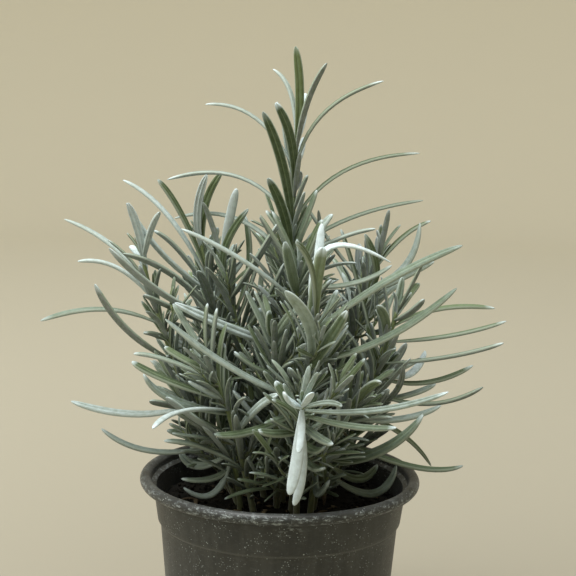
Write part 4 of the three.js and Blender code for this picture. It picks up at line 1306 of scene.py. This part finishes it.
def make_stage():
    """A pale floor that sweeps up all round, so that every side is seen against it, painted darker toward
    its middle as shade against the top light.
    """
    p = Paint("stage_pale", {"Roughness": 1.0, "Specular IOR Level": 0.0})
    # painted shade: the floor's colour darkens toward the middle and gives way to the wall's by the foot of
    # the sweep
    far = p.spread(p.away((1, 1, 1)), 0.0, STAGE_FLOOR * MM)
    p.tree.links.new(p.mix(far, STAGE_FLOOR_SHADED, STAGE_WALL_PALE), p.shader.inputs["Base Color"])
    sweep = arc_points((STAGE_FLOOR, STAGE_SWEEP), STAGE_SWEEP, -90, 0, 16)
    flat = [(STAGE_FLOOR / 3, 0), (STAGE_FLOOR * 2 / 3, 0)]
    profile = [*flat, *sweep, (STAGE_FLOOR + STAGE_SWEEP, STAGE_WALL)]
    angle = ring_angles(STAGE_SIDES)
    rows = [
        np.stack([radius * np.cos(angle), radius * np.sin(angle), np.full(STAGE_SIDES, up)], axis=-1)
        for radius, up in profile
    ]
    faces = [tuple(range(STAGE_SIDES))]
    for i in range(len(rows) - 1):
        for j in range(STAGE_SIDES):
            a, b = i * STAGE_SIDES + j, i * STAGE_SIDES + (j + 1) % STAGE_SIDES
            faces.append((a, a + STAGE_SIDES, b + STAGE_SIDES, b))
    shape = Shape()
    shape.add(np.vstack(rows), faces)
    shape.make("stage_floor", [p.material])


LOOKED_AT = Vector((0, 0, 130 * MM))  # the middle of the plant
SKY = (0.93, 0.96, 1.0, 1.0)
SKY_STRENGTH = 0.48


def softbox(name, place_mm, size_mm, power, warmth):
    """A square area light that points at the middle of the plant."""
    light = bpy.data.lights.new(name, "AREA")
    light.size = size_mm * MM
    light.energy = power
    light.color = warmth
    lamp = bpy.data.objects.new(name, light)
    lamp.location = Vector(place_mm) * MM
    lamp.rotation_euler = (LOOKED_AT - lamp.location).to_track_quat("-Z", "Y").to_euler()
    bpy.context.scene.collection.objects.link(lamp)


def make_light():
    world = bpy.data.worlds.new("studio")
    world.use_nodes = True
    background = world.node_tree.nodes["Background"]
    background.inputs["Color"].default_value = SKY
    background.inputs["Strength"].default_value = SKY_STRENGTH
    bpy.context.scene.world = world
    softbox("softbox_top", (-250, -150, 1500), 900, 31, (1.0, 1.0, 0.98))
    softbox("softbox_left", (-1100, -700, 900), 900, 7, (1.0, 0.99, 0.96))
    view = bpy.context.scene.view_settings
    view.view_transform = "Standard"
    view.look = "None"


PITCH = 0.163  # the eye looks down by this angle, in radians
YAW = 0.003
ROLL = 0.021
FOCAL_PIXELS = 1441
FRAME_PIXELS = 576
SENSOR = 36


def make_camera():
    """The photo's eye, fitted to the rim's ellipse, the collar and the step."""
    camera = bpy.data.cameras.new("camera")
    camera.sensor_width = SENSOR
    camera.lens = FOCAL_PIXELS / FRAME_PIXELS * SENSOR
    camera.clip_start = 0.01
    eye = bpy.data.objects.new("camera", camera)
    ahead = np.array([math.sin(YAW) * math.cos(PITCH), math.cos(YAW) * math.cos(PITCH), -math.sin(PITCH)])
    level = unit(np.cross(ahead, [0.0, 0.0, 1.0]))
    upright = np.cross(level, ahead)
    right = math.cos(ROLL) * level + math.sin(ROLL) * upright
    up = math.cos(ROLL) * upright - math.sin(ROLL) * level
    turn = Matrix((right, up, -ahead)).transposed().to_4x4()
    eye.matrix_world = Matrix.Translation((0, -EYE_AWAY * MM, EYE_UP * MM)) @ turn
    bpy.context.scene.collection.objects.link(eye)
    bpy.context.scene.camera = eye


# ---------------------------------------------------------------- everything in its place

make_camera()
make_light()
make_stage()
grow_plant()
grow_detail()
leaf_materials = [leaf_material(), stem_material()]
for shoot in SHOOTS:
    make_shoot(shoot, leaf_materials)
make_pot(pot_material())
make_soil(soil_material(), litter_material())
